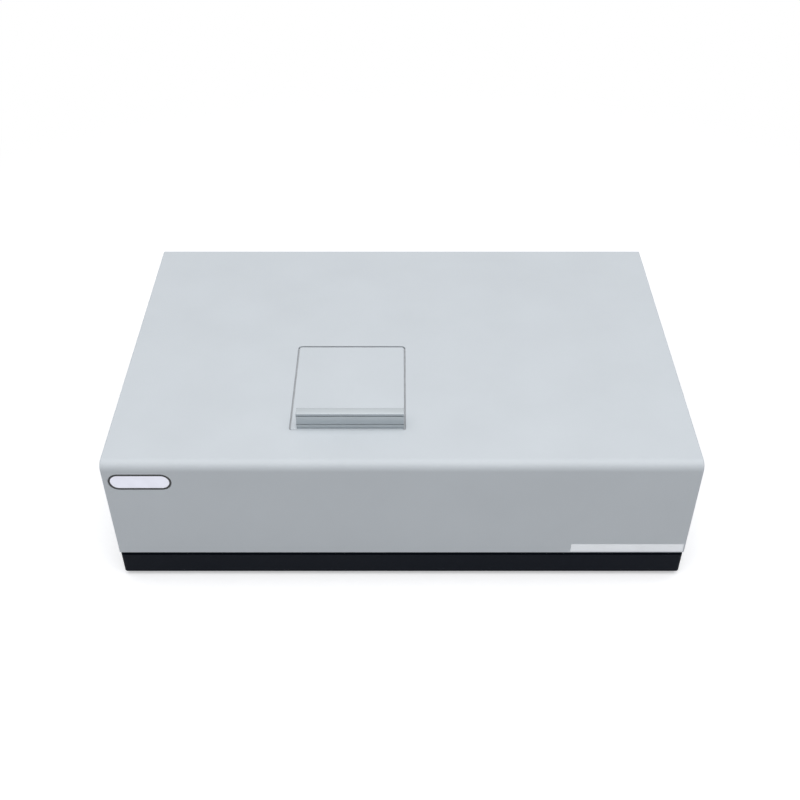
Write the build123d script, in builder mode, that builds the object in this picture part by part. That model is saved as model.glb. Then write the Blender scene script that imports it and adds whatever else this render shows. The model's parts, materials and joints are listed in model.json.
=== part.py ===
from build123d import *
from math import atan2, degrees, hypot, pi
import os

# Infrared oil analyzer, in millimetres.
# +X is right, the front faces -Y, +Z is up, z = 0 is the bench under the feet,
# and the origin is the centre of the footprint.

os.makedirs("parts", exist_ok=True)

# Overall sizes
body_width = 500.0
body_depth = 325.0
body_height = 132.0        # underside of the tray to the top of the cover
foot_height = 5.0
tray_band = 21.5           # height of the black wall that shows
shadow_gap = 4.0           # open line between the tray wall and the cover

# Sheet, edges and clearances
cover_sheet = 1.5
tray_sheet = 2.0
panel_sheet = 1.5
well_sheet = 1.5
front_bend = 8.0           # outer radius of the bend between front and top
side_edge = 1.5            # outer radius of the cover's other edges
tray_inset = 0.5           # tray wall behind the cover's outer face
tray_corner = 3.0
slip = 0.3                 # gap between pieces that slide together
running = 0.05             # radial gap of a shaft in its hole
flush_drop = 0.05          # flush screw heads below their face
over = 1.0                 # how far a cut runs past a face

# Lid and its opening
opening_side = 153.5       # left side of the body to the opening
opening_setback = 43.0     # front face to the opening
opening_width = 100.0
opening_length = 118.0
opening_rear_radius = 4.0
opening_front_radius = 2.0
lid_gap = 1.5
lid_front_gap = 0.8
lid_sheet = 1.2
lid_edge = 0.5             # rounded edge of the lid's top face
lid_seal_gap = 0.3

# Lid hinge
pivot_depth = 7.0          # below the cover's top
pivot_setback = 13.0       # behind the lid's rear edge
hinge_rod_radius = 1.5
arm_edge_gap = 1.0         # arm's inside to the cover's corner that it goes round
arm_thickness = 3.0
arm_width = 5.0
arm_eye_radius = 4.5
arm_foot_length = 10.5
arm_edge_inset = 11.0      # lid side to the arm

# Optics
optics_height = 98.5       # bench top to the underside of the cover
bench_thickness = 6.0
beam_rise = 48.0           # beam above the bench
beam_radius = 5.0
cell_length = 42.5         # outer size of a 40 mm cell
cell_thickness = 12.5
cell_gap = 0.2
cell_floor_drop = 21.0     # beam to the cell's underside
holder_wall = 5.0
mono_wall = 4.0
mirror_radius = 20.0
mirror_thickness = 8.0
sine_arm_length = 70.0
scan_travel = 8.0          # nut each way from the middle
arm_pin_radius = 2.0
pin_slot_gap = 0.15
screw_radius = 3.0
motor_size = 28.0

# Rear
panel_recess = 8.5         # cover's rear edge to the rear panel
inlet_side = 50.0          # left side of the body to the inlet's middle
fan_side = 100.0           # right side of the body to the fan's middle
fan_size = 60.0
rocker_swing = 20.0

# Heights and edges that follow
tray_bottom = foot_height
tray_floor = tray_bottom + tray_sheet
tray_top = tray_bottom + tray_band
cover_bottom = tray_top + shadow_gap
cover_top = tray_bottom + body_height
cover_under = cover_top - cover_sheet
front_y = -body_depth / 2
rear_y = body_depth / 2
side_x = body_width / 2
inner_side_x = side_x - cover_sheet

opening_left = -side_x + opening_side
opening_right = opening_left + opening_width
opening_front = front_y + opening_setback
opening_rear = opening_front + opening_length
lid_left = opening_left + lid_gap
lid_right = opening_right - lid_gap
lid_front = opening_front + lid_front_gap
lid_rear = opening_rear - lid_gap
lid_under = cover_top - lid_sheet

pivot_y = lid_rear + pivot_setback
pivot_z = cover_top - pivot_depth
arm_inner = hypot(pivot_y - opening_rear, pivot_depth) + arm_edge_gap
arm_outer = arm_inner + arm_width
arm_foot_front = pivot_y - arm_outer - arm_foot_length

seal_thickness = 3.0
seal_top = lid_under - lid_seal_gap
well_flange_top = seal_top - seal_thickness
well_left = opening_left + 5.0
well_right = opening_right - 5.0
well_front = opening_front + 10.0
well_rear = arm_foot_front - 8.0

bench_top = cover_under - optics_height
bench_under = bench_top - bench_thickness
beam_z = bench_top + beam_rise
beam_y = (well_front + well_rear) / 2

ALONG_X = (0, 90, 0)
ALONG_Y = (-90, 0, 0)
ALONG_Z = (0, 0, 0)


def block(x_range, y_range, z_range, mode=Mode.ADD):
    """A box between two values along each axis, in the part being built."""
    ranges = (x_range, y_range, z_range)
    middle = tuple((low + high) / 2 for low, high in ranges)
    size = tuple(high - low for low, high in ranges)
    with Locations(middle):
        Box(*size, mode=mode)


def bar(centre, radius, length, direction, mode=Mode.ADD):
    """A round bar about its middle, in the part being built."""
    with Locations(Location(centre, direction)):
        Cylinder(radius, length, mode=mode)


def about(middle, half):
    """The two values half a size either side of a middle."""
    return (middle - half, middle + half)


def save(builder, label):
    """Name a finished piece and write it to its own STEP file."""
    builder.part.label = label
    export_step(builder.part, f"parts/{label}.step")


def pan_screw(shank_radius, length, head_radius, head_height):
    """A pan-head screw with a hex socket, its seat at z = 0 and its head above."""
    with BuildPart() as screw:
        with BuildSketch():
            Circle(head_radius)
        extrude(amount=head_height)
        fillet(screw.faces().sort_by(Axis.Z)[-1].edges(), 0.35 * head_height)
        with BuildSketch(Plane.XY.offset(head_height)):
            RegularPolygon(0.5 * head_radius, 6)
        extrude(amount=-0.55 * head_height, mode=Mode.SUBTRACT)
        with BuildSketch():
            Circle(shank_radius)
        extrude(amount=-length)
    return screw.part


def flat_screw(shank_radius, length, head_radius):
    """A countersunk screw with a hex socket, flush at z = 0."""
    cone = head_radius - shank_radius
    with BuildPart() as screw:
        with BuildSketch(Plane.XZ):
            with BuildLine():
                Polyline(
                    (0, 0),
                    (head_radius, 0),
                    (shank_radius, -cone),
                    (shank_radius, -length),
                    (0, -length),
                    close=True,
                )
            make_face()
        revolve(axis=Axis.Z)
        with BuildSketch():
            RegularPolygon(0.4 * head_radius, 6)
        extrude(amount=-0.5 * cone, mode=Mode.SUBTRACT)
    return screw.part


# Rubber feet and their bolts
foot_radius = 11.0
foot_inset = 32.0
foot_taper = 6.0           # degrees
foot_edge = 0.8
foot_recess = 2.6
foot_recess_radius = 4.5
foot_bolt_radius = 2.0
foot_bolt_head = (3.8, 2.0)
foot_nut_radius = 4.0
foot_nut_height = 3.2
foot_bolt_spare = 4.0      # bolt past its nut
foot_bolt_top = tray_floor + foot_nut_height + foot_bolt_spare
foot_bolt_length = foot_bolt_top - foot_recess
foot_places = {
    "foot_front_left": (-side_x + foot_inset, front_y + foot_inset),
    "foot_front_right": (side_x - foot_inset, front_y + foot_inset),
    "foot_rear_left": (-side_x + foot_inset, rear_y - foot_inset),
    "foot_rear_right": (side_x - foot_inset, rear_y - foot_inset),
}

for foot_name, (foot_x, foot_y) in foot_places.items():
    with BuildPart() as foot:
        with BuildSketch():
            with Locations((foot_x, foot_y)):
                Circle(foot_radius)
        extrude(amount=foot_height, taper=-foot_taper)
        fillet(foot.faces().sort_by(Axis.Z)[0].edges(), foot_edge)
        bar((foot_x, foot_y, foot_recess / 2), foot_recess_radius, foot_recess, ALONG_Z, Mode.SUBTRACT)
        bar((foot_x, foot_y, 0), foot_bolt_radius + running, 4 * foot_height, ALONG_Z, Mode.SUBTRACT)
    save(foot, foot_name)

foot_bolt = pan_screw(foot_bolt_radius, foot_bolt_length, *foot_bolt_head)
with BuildPart() as nut_blank:
    with BuildSketch():
        RegularPolygon(foot_nut_radius, 6)
        Circle(foot_bolt_radius + running, mode=Mode.SUBTRACT)
    extrude(amount=foot_nut_height)

with BuildPart() as foot_bolts:
    for foot_x, foot_y in foot_places.values():
        with Locations(Location((foot_x, foot_y, foot_recess), (180, 0, 0))):
            add(foot_bolt)
        with Locations((foot_x, foot_y, tray_floor)):
            add(nut_blank.part)
save(foot_bolts, "foot_bolts")

# Base tray: black wall outside, then a rim stepped inwards that the cover slides over
tray_width = body_width - 2 * tray_inset
tray_depth = body_depth - 2 * tray_inset
rim_overlap = 14.0         # rim behind the cover's lower edge
rim_root = 4.0             # rim against the inside of the tray's wall
rim_top = cover_bottom + rim_overlap
rim_foot = tray_top - rim_root
rim_outer_x = inner_side_x - slip
rim_front = front_y + cover_sheet + slip
rim_rear = rear_y - tray_inset - tray_sheet
panel_back = rear_y - panel_recess
panel_front = panel_back - panel_sheet
panel_flange = 14.0

board_left = -95.0
board_width = 195.0
board_depth = 80.0
board_gap = 12.0           # board to the rear panel
board_right = board_left + board_width
board_rear = panel_front - board_gap
board_front = board_rear - board_depth
board_stud_inset = 6.0
board_stud_radius = 3.0
board_stud_height = 11.0
board_studs = [
    (x, y)
    for x in (board_left + board_stud_inset, board_right - board_stud_inset)
    for y in (board_front + board_stud_inset, board_rear - board_stud_inset)
]

floor_vent_slot = 4.0
floor_vent_pitch = 10.0
floor_vent_length = 46.0
floor_vent_y = rear_y - 62.0
floor_vent_xs = (-side_x + 75.0, side_x - 150.0)

side_screw_radius = 1.5
side_screw_head = 2.9
side_screw_length = 7.0
side_screw_z = cover_bottom + 8.0
rim_screw_ys = (front_y + 50.0, 20.0)
panel_screw_y = panel_back - panel_flange / 2
panel_screw_zs = (side_screw_z + 8.0, cover_top - 25.0)
rim_screw_spots = [(y, side_screw_z) for y in rim_screw_ys]
panel_screw_spots = [(panel_screw_y, z) for z in panel_screw_zs]
side_hole = 12.0           # length of the drill through a side

with BuildPart() as base_tray:
    with BuildSketch(Plane.XY.offset(tray_bottom)):
        RectangleRounded(tray_width, tray_depth, tray_corner)
    extrude(amount=tray_band)
    with BuildSketch(Plane.XY.offset(tray_floor)):
        RectangleRounded(tray_width - 2 * tray_sheet, tray_depth - 2 * tray_sheet, tray_corner - tray_sheet)
    extrude(amount=tray_band, mode=Mode.SUBTRACT)
    for side in (-1, 1):
        rim_x = sorted((side * rim_outer_x, side * (rim_outer_x - tray_sheet)))
        block(rim_x, (rim_front, rim_rear), (rim_foot, rim_top))
    block((-rim_outer_x, rim_outer_x), (rim_front, rim_front + tray_sheet), (rim_foot, rim_top))
    with Locations(*[(x, y, tray_floor) for x, y in board_studs]):
        Cylinder(board_stud_radius, board_stud_height, align=(Align.CENTER, Align.CENTER, Align.MIN))
    for foot_x, foot_y in foot_places.values():
        bar((foot_x, foot_y, tray_bottom), foot_bolt_radius + running, 4 * tray_sheet, ALONG_Z, Mode.SUBTRACT)
    with BuildSketch(Plane.XY.offset(tray_bottom)):
        with Locations(*[(x, floor_vent_y) for x in floor_vent_xs]):
            with GridLocations(floor_vent_pitch, 0, 7, 1):
                SlotOverall(floor_vent_length, floor_vent_slot, rotation=90)
    extrude(amount=tray_sheet, mode=Mode.SUBTRACT)
    for side in (-1, 1):
        for y, z in rim_screw_spots:
            bar((side * rim_outer_x, y, z), side_screw_radius + running, side_hole, ALONG_X, Mode.SUBTRACT)
save(base_tray, "base_tray")

# Badge plate and label strip: shallow pockets in the cover's front keep both flush
badge_length = 52.5
badge_height = 17.0
badge_depth = 0.7
badge_edge = 0.3
badge_gap = 0.4
badge_x = -side_x + 5.0 + badge_length / 2
badge_z = cover_top - 20.0
label_length = 99.0
label_height = 9.5
label_depth = 0.3
label_x = side_x - 2.0 - label_length / 2
label_z = cover_bottom + 1.0 + label_height / 2


def cover_profile(face_y, top_z, rear_end, bottom_z, bend):
    """The closed side view of the cover: upright front, bend, level top."""
    with BuildLine() as outline:
        Line((face_y, bottom_z), (face_y, top_z - bend))
        TangentArc((face_y, top_z - bend), (face_y + bend, top_z), tangent=(0, 1))
        Line((face_y + bend, top_z), (rear_end, top_z))
        Line((rear_end, top_z), (rear_end, bottom_z))
        Line((rear_end, bottom_z), (face_y, bottom_z))
    return outline.wires()[0]


# Cover: front, top and two sides, open at the rear and underneath
with BuildPart() as cover_shell:
    with BuildSketch(Plane.YZ.offset(-side_x)):
        add(cover_profile(front_y, cover_top, rear_y, cover_bottom, front_bend))
        make_face()
    extrude(amount=body_width)
    outer_edges = cover_shell.edges().filter_by(
        lambda edge: abs(abs(edge.center().X) - side_x) < 0.01
        and edge.center().Y < rear_y - 1
        and edge.center().Z > cover_bottom + 1
    )
    fillet(outer_edges, side_edge)
    with BuildSketch(Plane.YZ.offset(-inner_side_x)):
        inner_bend = front_bend - cover_sheet
        add(cover_profile(front_y + cover_sheet, cover_under, rear_y + over, cover_bottom - over, inner_bend))
        make_face()
    extrude(amount=2 * inner_side_x, mode=Mode.SUBTRACT)
    with BuildSketch(Plane.XY.offset(cover_top + over)) as opening_outline:
        with Locations(((opening_left + opening_right) / 2, (opening_front + opening_rear) / 2)):
            Rectangle(opening_width, opening_length)
        fillet(opening_outline.vertices().group_by(Axis.Y)[-1], opening_rear_radius)
        fillet(opening_outline.vertices().group_by(Axis.Y)[0], opening_front_radius)
    extrude(amount=-cover_sheet - 2 * over, mode=Mode.SUBTRACT)
    with BuildSketch(Plane.XZ.offset(-front_y)):
        with Locations((badge_x, badge_z)):
            SlotOverall(badge_length + 2 * badge_gap, badge_height + 2 * badge_gap)
    extrude(amount=-badge_depth, mode=Mode.SUBTRACT)
    with BuildSketch(Plane.XZ.offset(-front_y)):
        with Locations((label_x, label_z)):
            Rectangle(label_length, label_height)
    extrude(amount=-label_depth, mode=Mode.SUBTRACT)
    for side in (-1, 1):
        for y, z in rim_screw_spots + panel_screw_spots:
            with Locations(Location((side * side_x, y, z), (0, 90 * side, 0))):
                CounterSinkHole(side_screw_radius + 2 * running, side_screw_head, depth=side_hole / 2)
save(cover_shell, "cover_shell")

side_screw = flat_screw(side_screw_radius, side_screw_length, side_screw_head - 2 * running)
with BuildPart() as cover_screws:
    for side in (-1, 1):
        for y, z in rim_screw_spots + panel_screw_spots:
            with Locations(Location((side * (side_x - flush_drop), y, z), (0, 90 * side, 0))):
                add(side_screw)
save(cover_screws, "cover_screws")

with BuildPart() as badge_plate:
    with BuildSketch(Plane.XZ.offset(-front_y - badge_depth)):
        with Locations((badge_x, badge_z)):
            SlotOverall(badge_length, badge_height)
    extrude(amount=badge_depth)
    fillet(badge_plate.faces().sort_by(Axis.Y)[0].edges(), badge_edge)
save(badge_plate, "badge_plate")

with BuildPart() as label_strip:
    with BuildSketch(Plane.XZ.offset(-front_y - label_depth)):
        with Locations((label_x, label_z)):
            Rectangle(label_length, label_height)
    extrude(amount=label_depth)
save(label_strip, "label_strip")

# Rear panel with its cut-outs
fan_x = side_x - fan_side
fan_z = (cover_bottom + cover_under) / 2
fan_screw_inset = 5.0
fan_screw_spacing = fan_size - 2 * fan_screw_inset
fan_wall = 1.5
inlet_x = -side_x + inlet_side
inlet_z = fan_z - 5.0
inlet_body = (28.0, 31.0)
inlet_screw_spacing = 40.0
switch_x = inlet_x + 52.0
switch_body_size = (21.0, 29.0)
usb_x = switch_x + 46.0
usb_z = inlet_z - 6.0
usb_size = (12.0, 11.0)
cutout_gap = 0.2
fitting_screw_radius = 1.5
fitting_head = (2.7, 1.8)
rear_vent_slot = 3.2
rear_vent_pitch = 11.0
rear_vent_length = 44.0
panel_side_x = inner_side_x - slip
panel_top = cover_under - slip
floor_flange_x = rim_outer_x - 4.0
fitting_cutouts = [
    (inlet_x, inlet_z, inlet_body),
    (switch_x, inlet_z, switch_body_size),
    (usb_x, usb_z, usb_size),
]
inlet_screw_xs = about(inlet_x, inlet_screw_spacing / 2)

with BuildPart() as rear_panel:
    flange_y = (panel_back - panel_flange, panel_back)
    block((-panel_side_x, panel_side_x), (panel_front, panel_back), (tray_floor, panel_top))
    block((-floor_flange_x, floor_flange_x), flange_y, (tray_floor, tray_floor + panel_sheet))
    block((-panel_side_x, panel_side_x), flange_y, (panel_top - panel_sheet, panel_top))
    for side in (-1, 1):
        flange_x = sorted((side * panel_side_x, side * (panel_side_x - panel_sheet)))
        block(flange_x, flange_y, (rim_top + slip, panel_top))
        corner_x = sorted((side * side_x, side * (rim_outer_x - tray_sheet - slip)))
        block(corner_x, (panel_front, panel_back), (tray_bottom, rim_top + slip), Mode.SUBTRACT)
    with BuildSketch(Plane.XZ.offset(-panel_back)):
        for cutout_x, cutout_z, (width, height) in fitting_cutouts:
            with Locations((cutout_x, cutout_z)):
                Rectangle(width + 2 * cutout_gap, height + 2 * cutout_gap)
        with Locations(*[(x, inlet_z) for x in inlet_screw_xs]):
            Circle(fitting_screw_radius + running)
        with Locations((fan_x, fan_z)):
            Circle(fan_size / 2 - fan_wall)
            with GridLocations(fan_screw_spacing, fan_screw_spacing, 2, 2):
                Circle(fitting_screw_radius + running)
        with Locations(((usb_x + fan_x) / 2, fan_z)):
            with GridLocations(rear_vent_pitch, 0, 12, 1):
                SlotOverall(rear_vent_length, rear_vent_slot, rotation=90)
    extrude(amount=2 * panel_sheet, both=True, mode=Mode.SUBTRACT)
    for side in (-1, 1):
        for y, z in panel_screw_spots:
            bar((side * panel_side_x, y, z), side_screw_radius + running, side_hole, ALONG_X, Mode.SUBTRACT)
save(rear_panel, "rear_panel")

# Lid panel, flush with the cover
bar_length = 91.5
bar_inset_left = 6.7       # opening's left edge to the pull bar
bar_setback = 0.5          # lid's front edge to the bar's lip
bar_left = opening_left + bar_inset_left
bar_front = lid_front + bar_setback
bar_screw_radius = 1.5
bar_screw_length = 8.5
bar_screw_head = (2.5, 1.6)
bar_screw_inset = 14.0
bar_screw_y = bar_front + 4.4
bar_screw_spots = [
    (bar_left + bar_screw_inset, bar_screw_y),
    (bar_left + bar_length - bar_screw_inset, bar_screw_y),
]

with BuildPart() as lid_panel:
    with BuildSketch(Plane.XY.offset(lid_under)) as lid_outline:
        with Locations(((lid_left + lid_right) / 2, (lid_front + lid_rear) / 2)):
            Rectangle(lid_right - lid_left, lid_rear - lid_front)
        fillet(lid_outline.vertices().group_by(Axis.Y)[-1], opening_rear_radius - lid_gap)
        fillet(lid_outline.vertices().group_by(Axis.Y)[0], opening_front_radius - lid_front_gap)
    extrude(amount=lid_sheet)
    fillet(lid_panel.faces().sort_by(Axis.Z)[-1].edges(), lid_edge)
    with Locations(*[(x, y, lid_under) for x, y in bar_screw_spots]):
        Cylinder(bar_screw_radius + running, 3 * lid_sheet, mode=Mode.SUBTRACT)
save(lid_panel, "lid_panel")

# Pull bar: lip over a face that is set back, a fine groove and a foot on the lid
bar_height = 17.0
bar_lip_depth = 8.0
bar_lip_overhang = 1.2
bar_lip_thickness = 2.2
bar_lip_edge = 0.6
bar_groove_height = 6.4
bar_groove = 0.9
bar_foot_height = 3.0
bar_foot_reach = 1.5
bar_face = bar_front + bar_lip_overhang
bar_back = bar_front + bar_lip_depth
bar_rear_face = bar_back - bar_lip_overhang
bar_top = cover_top + bar_height
lip_under = bar_top - bar_lip_thickness
groove_bottom = cover_top + bar_groove_height - bar_groove / 2
groove_top = groove_bottom + bar_groove

with BuildPart() as lid_handle:
    with BuildSketch(Plane.YZ.offset(bar_left)):
        with BuildLine():
            Polyline(
                (bar_face, cover_top),
                (bar_face, groove_bottom),
                (bar_face + bar_groove, groove_bottom),
                (bar_face + bar_groove, groove_top),
                (bar_face, groove_top),
                (bar_face, lip_under),
                (bar_front, lip_under),
                (bar_front, bar_top),
                (bar_back, bar_top),
                (bar_back, lip_under),
                (bar_rear_face, lip_under),
                (bar_rear_face, cover_top + bar_foot_height),
                (bar_back + bar_foot_reach, cover_top + bar_foot_height),
                (bar_back + bar_foot_reach, cover_top),
                close=True,
            )
        make_face()
    extrude(amount=bar_length)
    fillet(lid_handle.edges().filter_by(Axis.X).group_by(Axis.Z)[-1], bar_lip_edge)
    with Locations(*[(x, y, cover_top) for x, y in bar_screw_spots]):
        Cylinder(bar_screw_radius + running, 2 * bar_screw_length, mode=Mode.SUBTRACT)
save(lid_handle, "lid_handle")

handle_screw = pan_screw(bar_screw_radius, bar_screw_length, *bar_screw_head)
with BuildPart() as handle_screws:
    with Locations(*[Location((x, y, lid_under), (180, 0, 0)) for x, y in bar_screw_spots]):
        add(handle_screw)
save(handle_screws, "handle_screws")

# Lid liner: a shallow black pan, its open side against the lid
liner_inset = 2.0
liner_depth = 3.5
liner_sheet = 1.2
liner_corner = 3.0
liner_x = (well_left + liner_inset, well_right - liner_inset)
liner_y = (well_front + liner_inset, well_rear - liner_inset)

with BuildPart() as lid_liner:
    block(liner_x, liner_y, (lid_under - liner_depth, lid_under))
    fillet(lid_liner.edges().filter_by(Axis.Z), liner_corner)
    block(
        (liner_x[0] + liner_sheet, liner_x[1] - liner_sheet),
        (liner_y[0] + liner_sheet, liner_y[1] - liner_sheet),
        (lid_under - liner_depth + liner_sheet, lid_under + over),
        Mode.SUBTRACT,
    )
save(lid_liner, "lid_liner")

# Gooseneck arms: round the opening's edge to the rod under the cover
arm_leg_width = 6.0
arm_leg_front = 2.5        # front of the leg to the rod's axis
arm_pad_side = 4.5         # pad past each side of the arm
arm_pad_thickness = 2.0
arm_xs = {
    "lid_arm_left": lid_left + arm_edge_inset,
    "lid_arm_right": lid_right - arm_edge_inset - arm_thickness,
}

for arm_name, arm_x in arm_xs.items():
    with BuildPart() as lid_arm:
        with BuildSketch(Plane.YZ.offset(arm_x)):
            with Locations((pivot_y, pivot_z)):
                Circle(arm_outer)
                Circle(arm_inner, mode=Mode.SUBTRACT)
                Rectangle(2 * arm_outer, arm_outer, align=(Align.CENTER, Align.MIN), mode=Mode.SUBTRACT)
                Rectangle(2 * arm_outer, 3 * arm_outer, align=(Align.MIN, Align.CENTER), mode=Mode.SUBTRACT)
            with Locations((pivot_y - (arm_inner + arm_outer) / 2, pivot_z)):
                Rectangle(arm_width, lid_under - pivot_z, align=(Align.CENTER, Align.MIN))
            with Locations((pivot_y - arm_leg_front, pivot_z)):
                Rectangle(arm_leg_width, arm_outer, align=(Align.MIN, Align.MAX))
            with Locations((pivot_y, pivot_z)):
                Circle(arm_eye_radius)
                Circle(hinge_rod_radius + running, mode=Mode.SUBTRACT)
        extrude(amount=arm_thickness)
        block(
            (arm_x - arm_pad_side, arm_x + arm_thickness + arm_pad_side),
            (arm_foot_front, pivot_y - arm_inner),
            (lid_under - arm_pad_thickness, lid_under),
        )
    save(lid_arm, arm_name)

# Hinge brackets: an ear outside each arm, its foot on the cover's underside
bracket_sheet = 2.0
bracket_gap = 0.5
bracket_foot = 14.0
bracket_y = (pivot_y - 6.0, pivot_y + 12.0)
bracket_drop = 5.0         # ear below the rod's axis
rod_flange = 1.0           # thickness and reach of the rod's end flanges
ears = {
    -1: arm_xs["lid_arm_left"] - bracket_gap - bracket_sheet,
    1: arm_xs["lid_arm_right"] + arm_thickness + bracket_gap + bracket_sheet,
}
rod_middle = (sum(ears.values()) / 2, pivot_y, pivot_z)
ear_span = ears[1] - ears[-1]

with BuildPart() as hinge_brackets:
    for side, ear_outside in ears.items():
        ear_x = sorted((ear_outside, ear_outside - side * bracket_sheet))
        foot_x = sorted((ear_outside - side * bracket_sheet, ear_outside + side * bracket_foot))
        block(ear_x, bracket_y, (pivot_z - bracket_drop, cover_under))
        block(foot_x, bracket_y, (cover_under - bracket_sheet, cover_under))
    bar(rod_middle, hinge_rod_radius, ear_span + 2 * over, ALONG_X, Mode.SUBTRACT)
save(hinge_brackets, "hinge_brackets")

with BuildPart() as hinge_rod:
    bar(rod_middle, hinge_rod_radius, ear_span + 2 * rod_flange, ALONG_X)
    for side, ear_outside in ears.items():
        flange_middle = (ear_outside + side * rod_flange / 2, pivot_y, pivot_z)
        bar(flange_middle, hinge_rod_radius + rod_flange, rod_flange, ALONG_X)
save(hinge_rod, "hinge_rod")

# Rubber seal round the compartment's mouth
seal_side = 5.0            # seal outside the opening
seal_left = opening_left - seal_side
seal_right = opening_right + seal_side
seal_front = opening_front - seal_side
seal_rear = arm_foot_front - 2.0
with BuildPart() as lid_seal:
    block((seal_left, seal_right), (seal_front, seal_rear), (well_flange_top, seal_top))
    block(
        (opening_left + 3.5, opening_right - 3.5),
        (opening_front + 2.3, seal_rear - 5.5),
        (well_flange_top - over, seal_top + over),
        Mode.SUBTRACT,
    )
save(lid_seal, "lid_seal")

# Sample compartment: a black well with a flange, beam ports and slots for the lid arms
well_floor = bench_top + well_sheet
well_corner = 1.0
well_boss_length = 6.0
well_boss_radius = 15.0
window_radius = 12.5
window_thickness = 3.0
port_radius = 10.0
flange_edge = 3.0
arm_slot_gap = 1.5
deck_rear = opening_rear - 1.0
holder_x = (well_left + well_right) / 2
well_screw_inset = 9.0
holder_screw_reach = 18.0
well_screw_spots = [
    (x, y)
    for x in (well_left + well_screw_inset, well_right - well_screw_inset)
    for y in (well_front + well_screw_inset, well_rear - well_screw_inset)
]
holder_screw_spots = [
    (holder_x - holder_screw_reach, beam_y - holder_screw_reach),
    (holder_x + holder_screw_reach, beam_y + holder_screw_reach),
]
well_sides = {-1: well_left - well_sheet, 1: well_right + well_sheet}

with BuildPart() as sample_well:
    block(
        (well_sides[-1], well_sides[1]),
        (well_front - well_sheet, well_rear + well_sheet),
        (bench_top, well_flange_top),
    )
    block(
        (seal_left - flange_edge, seal_right + flange_edge),
        (seal_front - flange_edge, deck_rear),
        (well_flange_top - well_sheet, well_flange_top),
    )
    for side, wall_x in well_sides.items():
        boss_middle = (wall_x + side * well_boss_length / 2, beam_y, beam_z)
        bar(boss_middle, well_boss_radius, well_boss_length, ALONG_X)
    block((well_left, well_right), (well_front, well_rear), (well_floor, cover_top), Mode.SUBTRACT)
    inner_corners = sample_well.edges().filter_by(Axis.Z).filter_by(
        lambda edge: well_left - 0.1 < edge.center().X < well_right + 0.1
        and well_front - 0.1 < edge.center().Y < well_rear + 0.1
        and edge.length > beam_rise
    )
    fillet(inner_corners, well_corner)
    for side, wall_x in well_sides.items():
        bar((wall_x, beam_y, beam_z), port_radius, 4 * well_sheet, ALONG_X, Mode.SUBTRACT)
        seat_middle = (wall_x + side * well_boss_length, beam_y, beam_z)
        bar(seat_middle, window_radius, 2 * well_boss_length, ALONG_X, Mode.SUBTRACT)
    for arm_x in arm_xs.values():
        block(
            (arm_x - arm_slot_gap, arm_x + arm_thickness + arm_slot_gap),
            (pivot_y - arm_outer - arm_slot_gap, deck_rear + over),
            (well_flange_top - 2 * well_sheet, well_flange_top + over),
            Mode.SUBTRACT,
        )
    with Locations(*[(x, y, bench_top) for x, y in well_screw_spots + holder_screw_spots]):
        Cylinder(fitting_screw_radius + running, 4 * well_sheet, mode=Mode.SUBTRACT)
save(sample_well, "sample_well")

with BuildPart() as beam_windows:
    for side, wall_x in well_sides.items():
        window_middle = (wall_x + side * window_thickness / 2, beam_y, beam_z)
        bar(window_middle, window_radius - running, window_thickness, ALONG_X)
save(beam_windows, "beam_windows")

# Cell holder: the cell drops in from above and the beam runs along it
holder_top = beam_z + 9.0
cell_floor = beam_z - cell_floor_drop
cell_half_x = cell_length / 2 + cell_gap
cell_half_y = cell_thickness / 2 + cell_gap
holder_half_x = cell_half_x + holder_wall
holder_half_y = cell_half_y + holder_wall
holder_edge = 2.0
holder_foot = 5.0
holder_foot_half_y = holder_screw_reach + 7.0
grip_half_x = 13.0         # gap in the long sides for finger and thumb
grip_rise = 8.0            # that gap's lower edge above the cell's underside
with BuildPart() as cell_holder:
    block(about(holder_x, holder_half_x), about(beam_y, holder_half_y), (well_floor, holder_top))
    fillet(cell_holder.edges().filter_by(Axis.Z), holder_edge)
    block(
        about(holder_x, holder_half_x),
        about(beam_y, holder_foot_half_y),
        (well_floor, well_floor + holder_foot),
    )
    block(
        about(holder_x, cell_half_x),
        about(beam_y, cell_half_y),
        (cell_floor, holder_top + over),
        Mode.SUBTRACT,
    )
    block(
        about(holder_x, grip_half_x),
        about(beam_y, holder_half_y + over),
        (cell_floor + grip_rise, holder_top + over),
        Mode.SUBTRACT,
    )
    bar((holder_x, beam_y, beam_z), beam_radius, 3 * holder_half_x, ALONG_X, Mode.SUBTRACT)
    with Locations(*[(x, y, well_floor) for x, y in holder_screw_spots]):
        Cylinder(fitting_screw_radius + running, 4 * holder_foot, mode=Mode.SUBTRACT)
save(cell_holder, "cell_holder")

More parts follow.
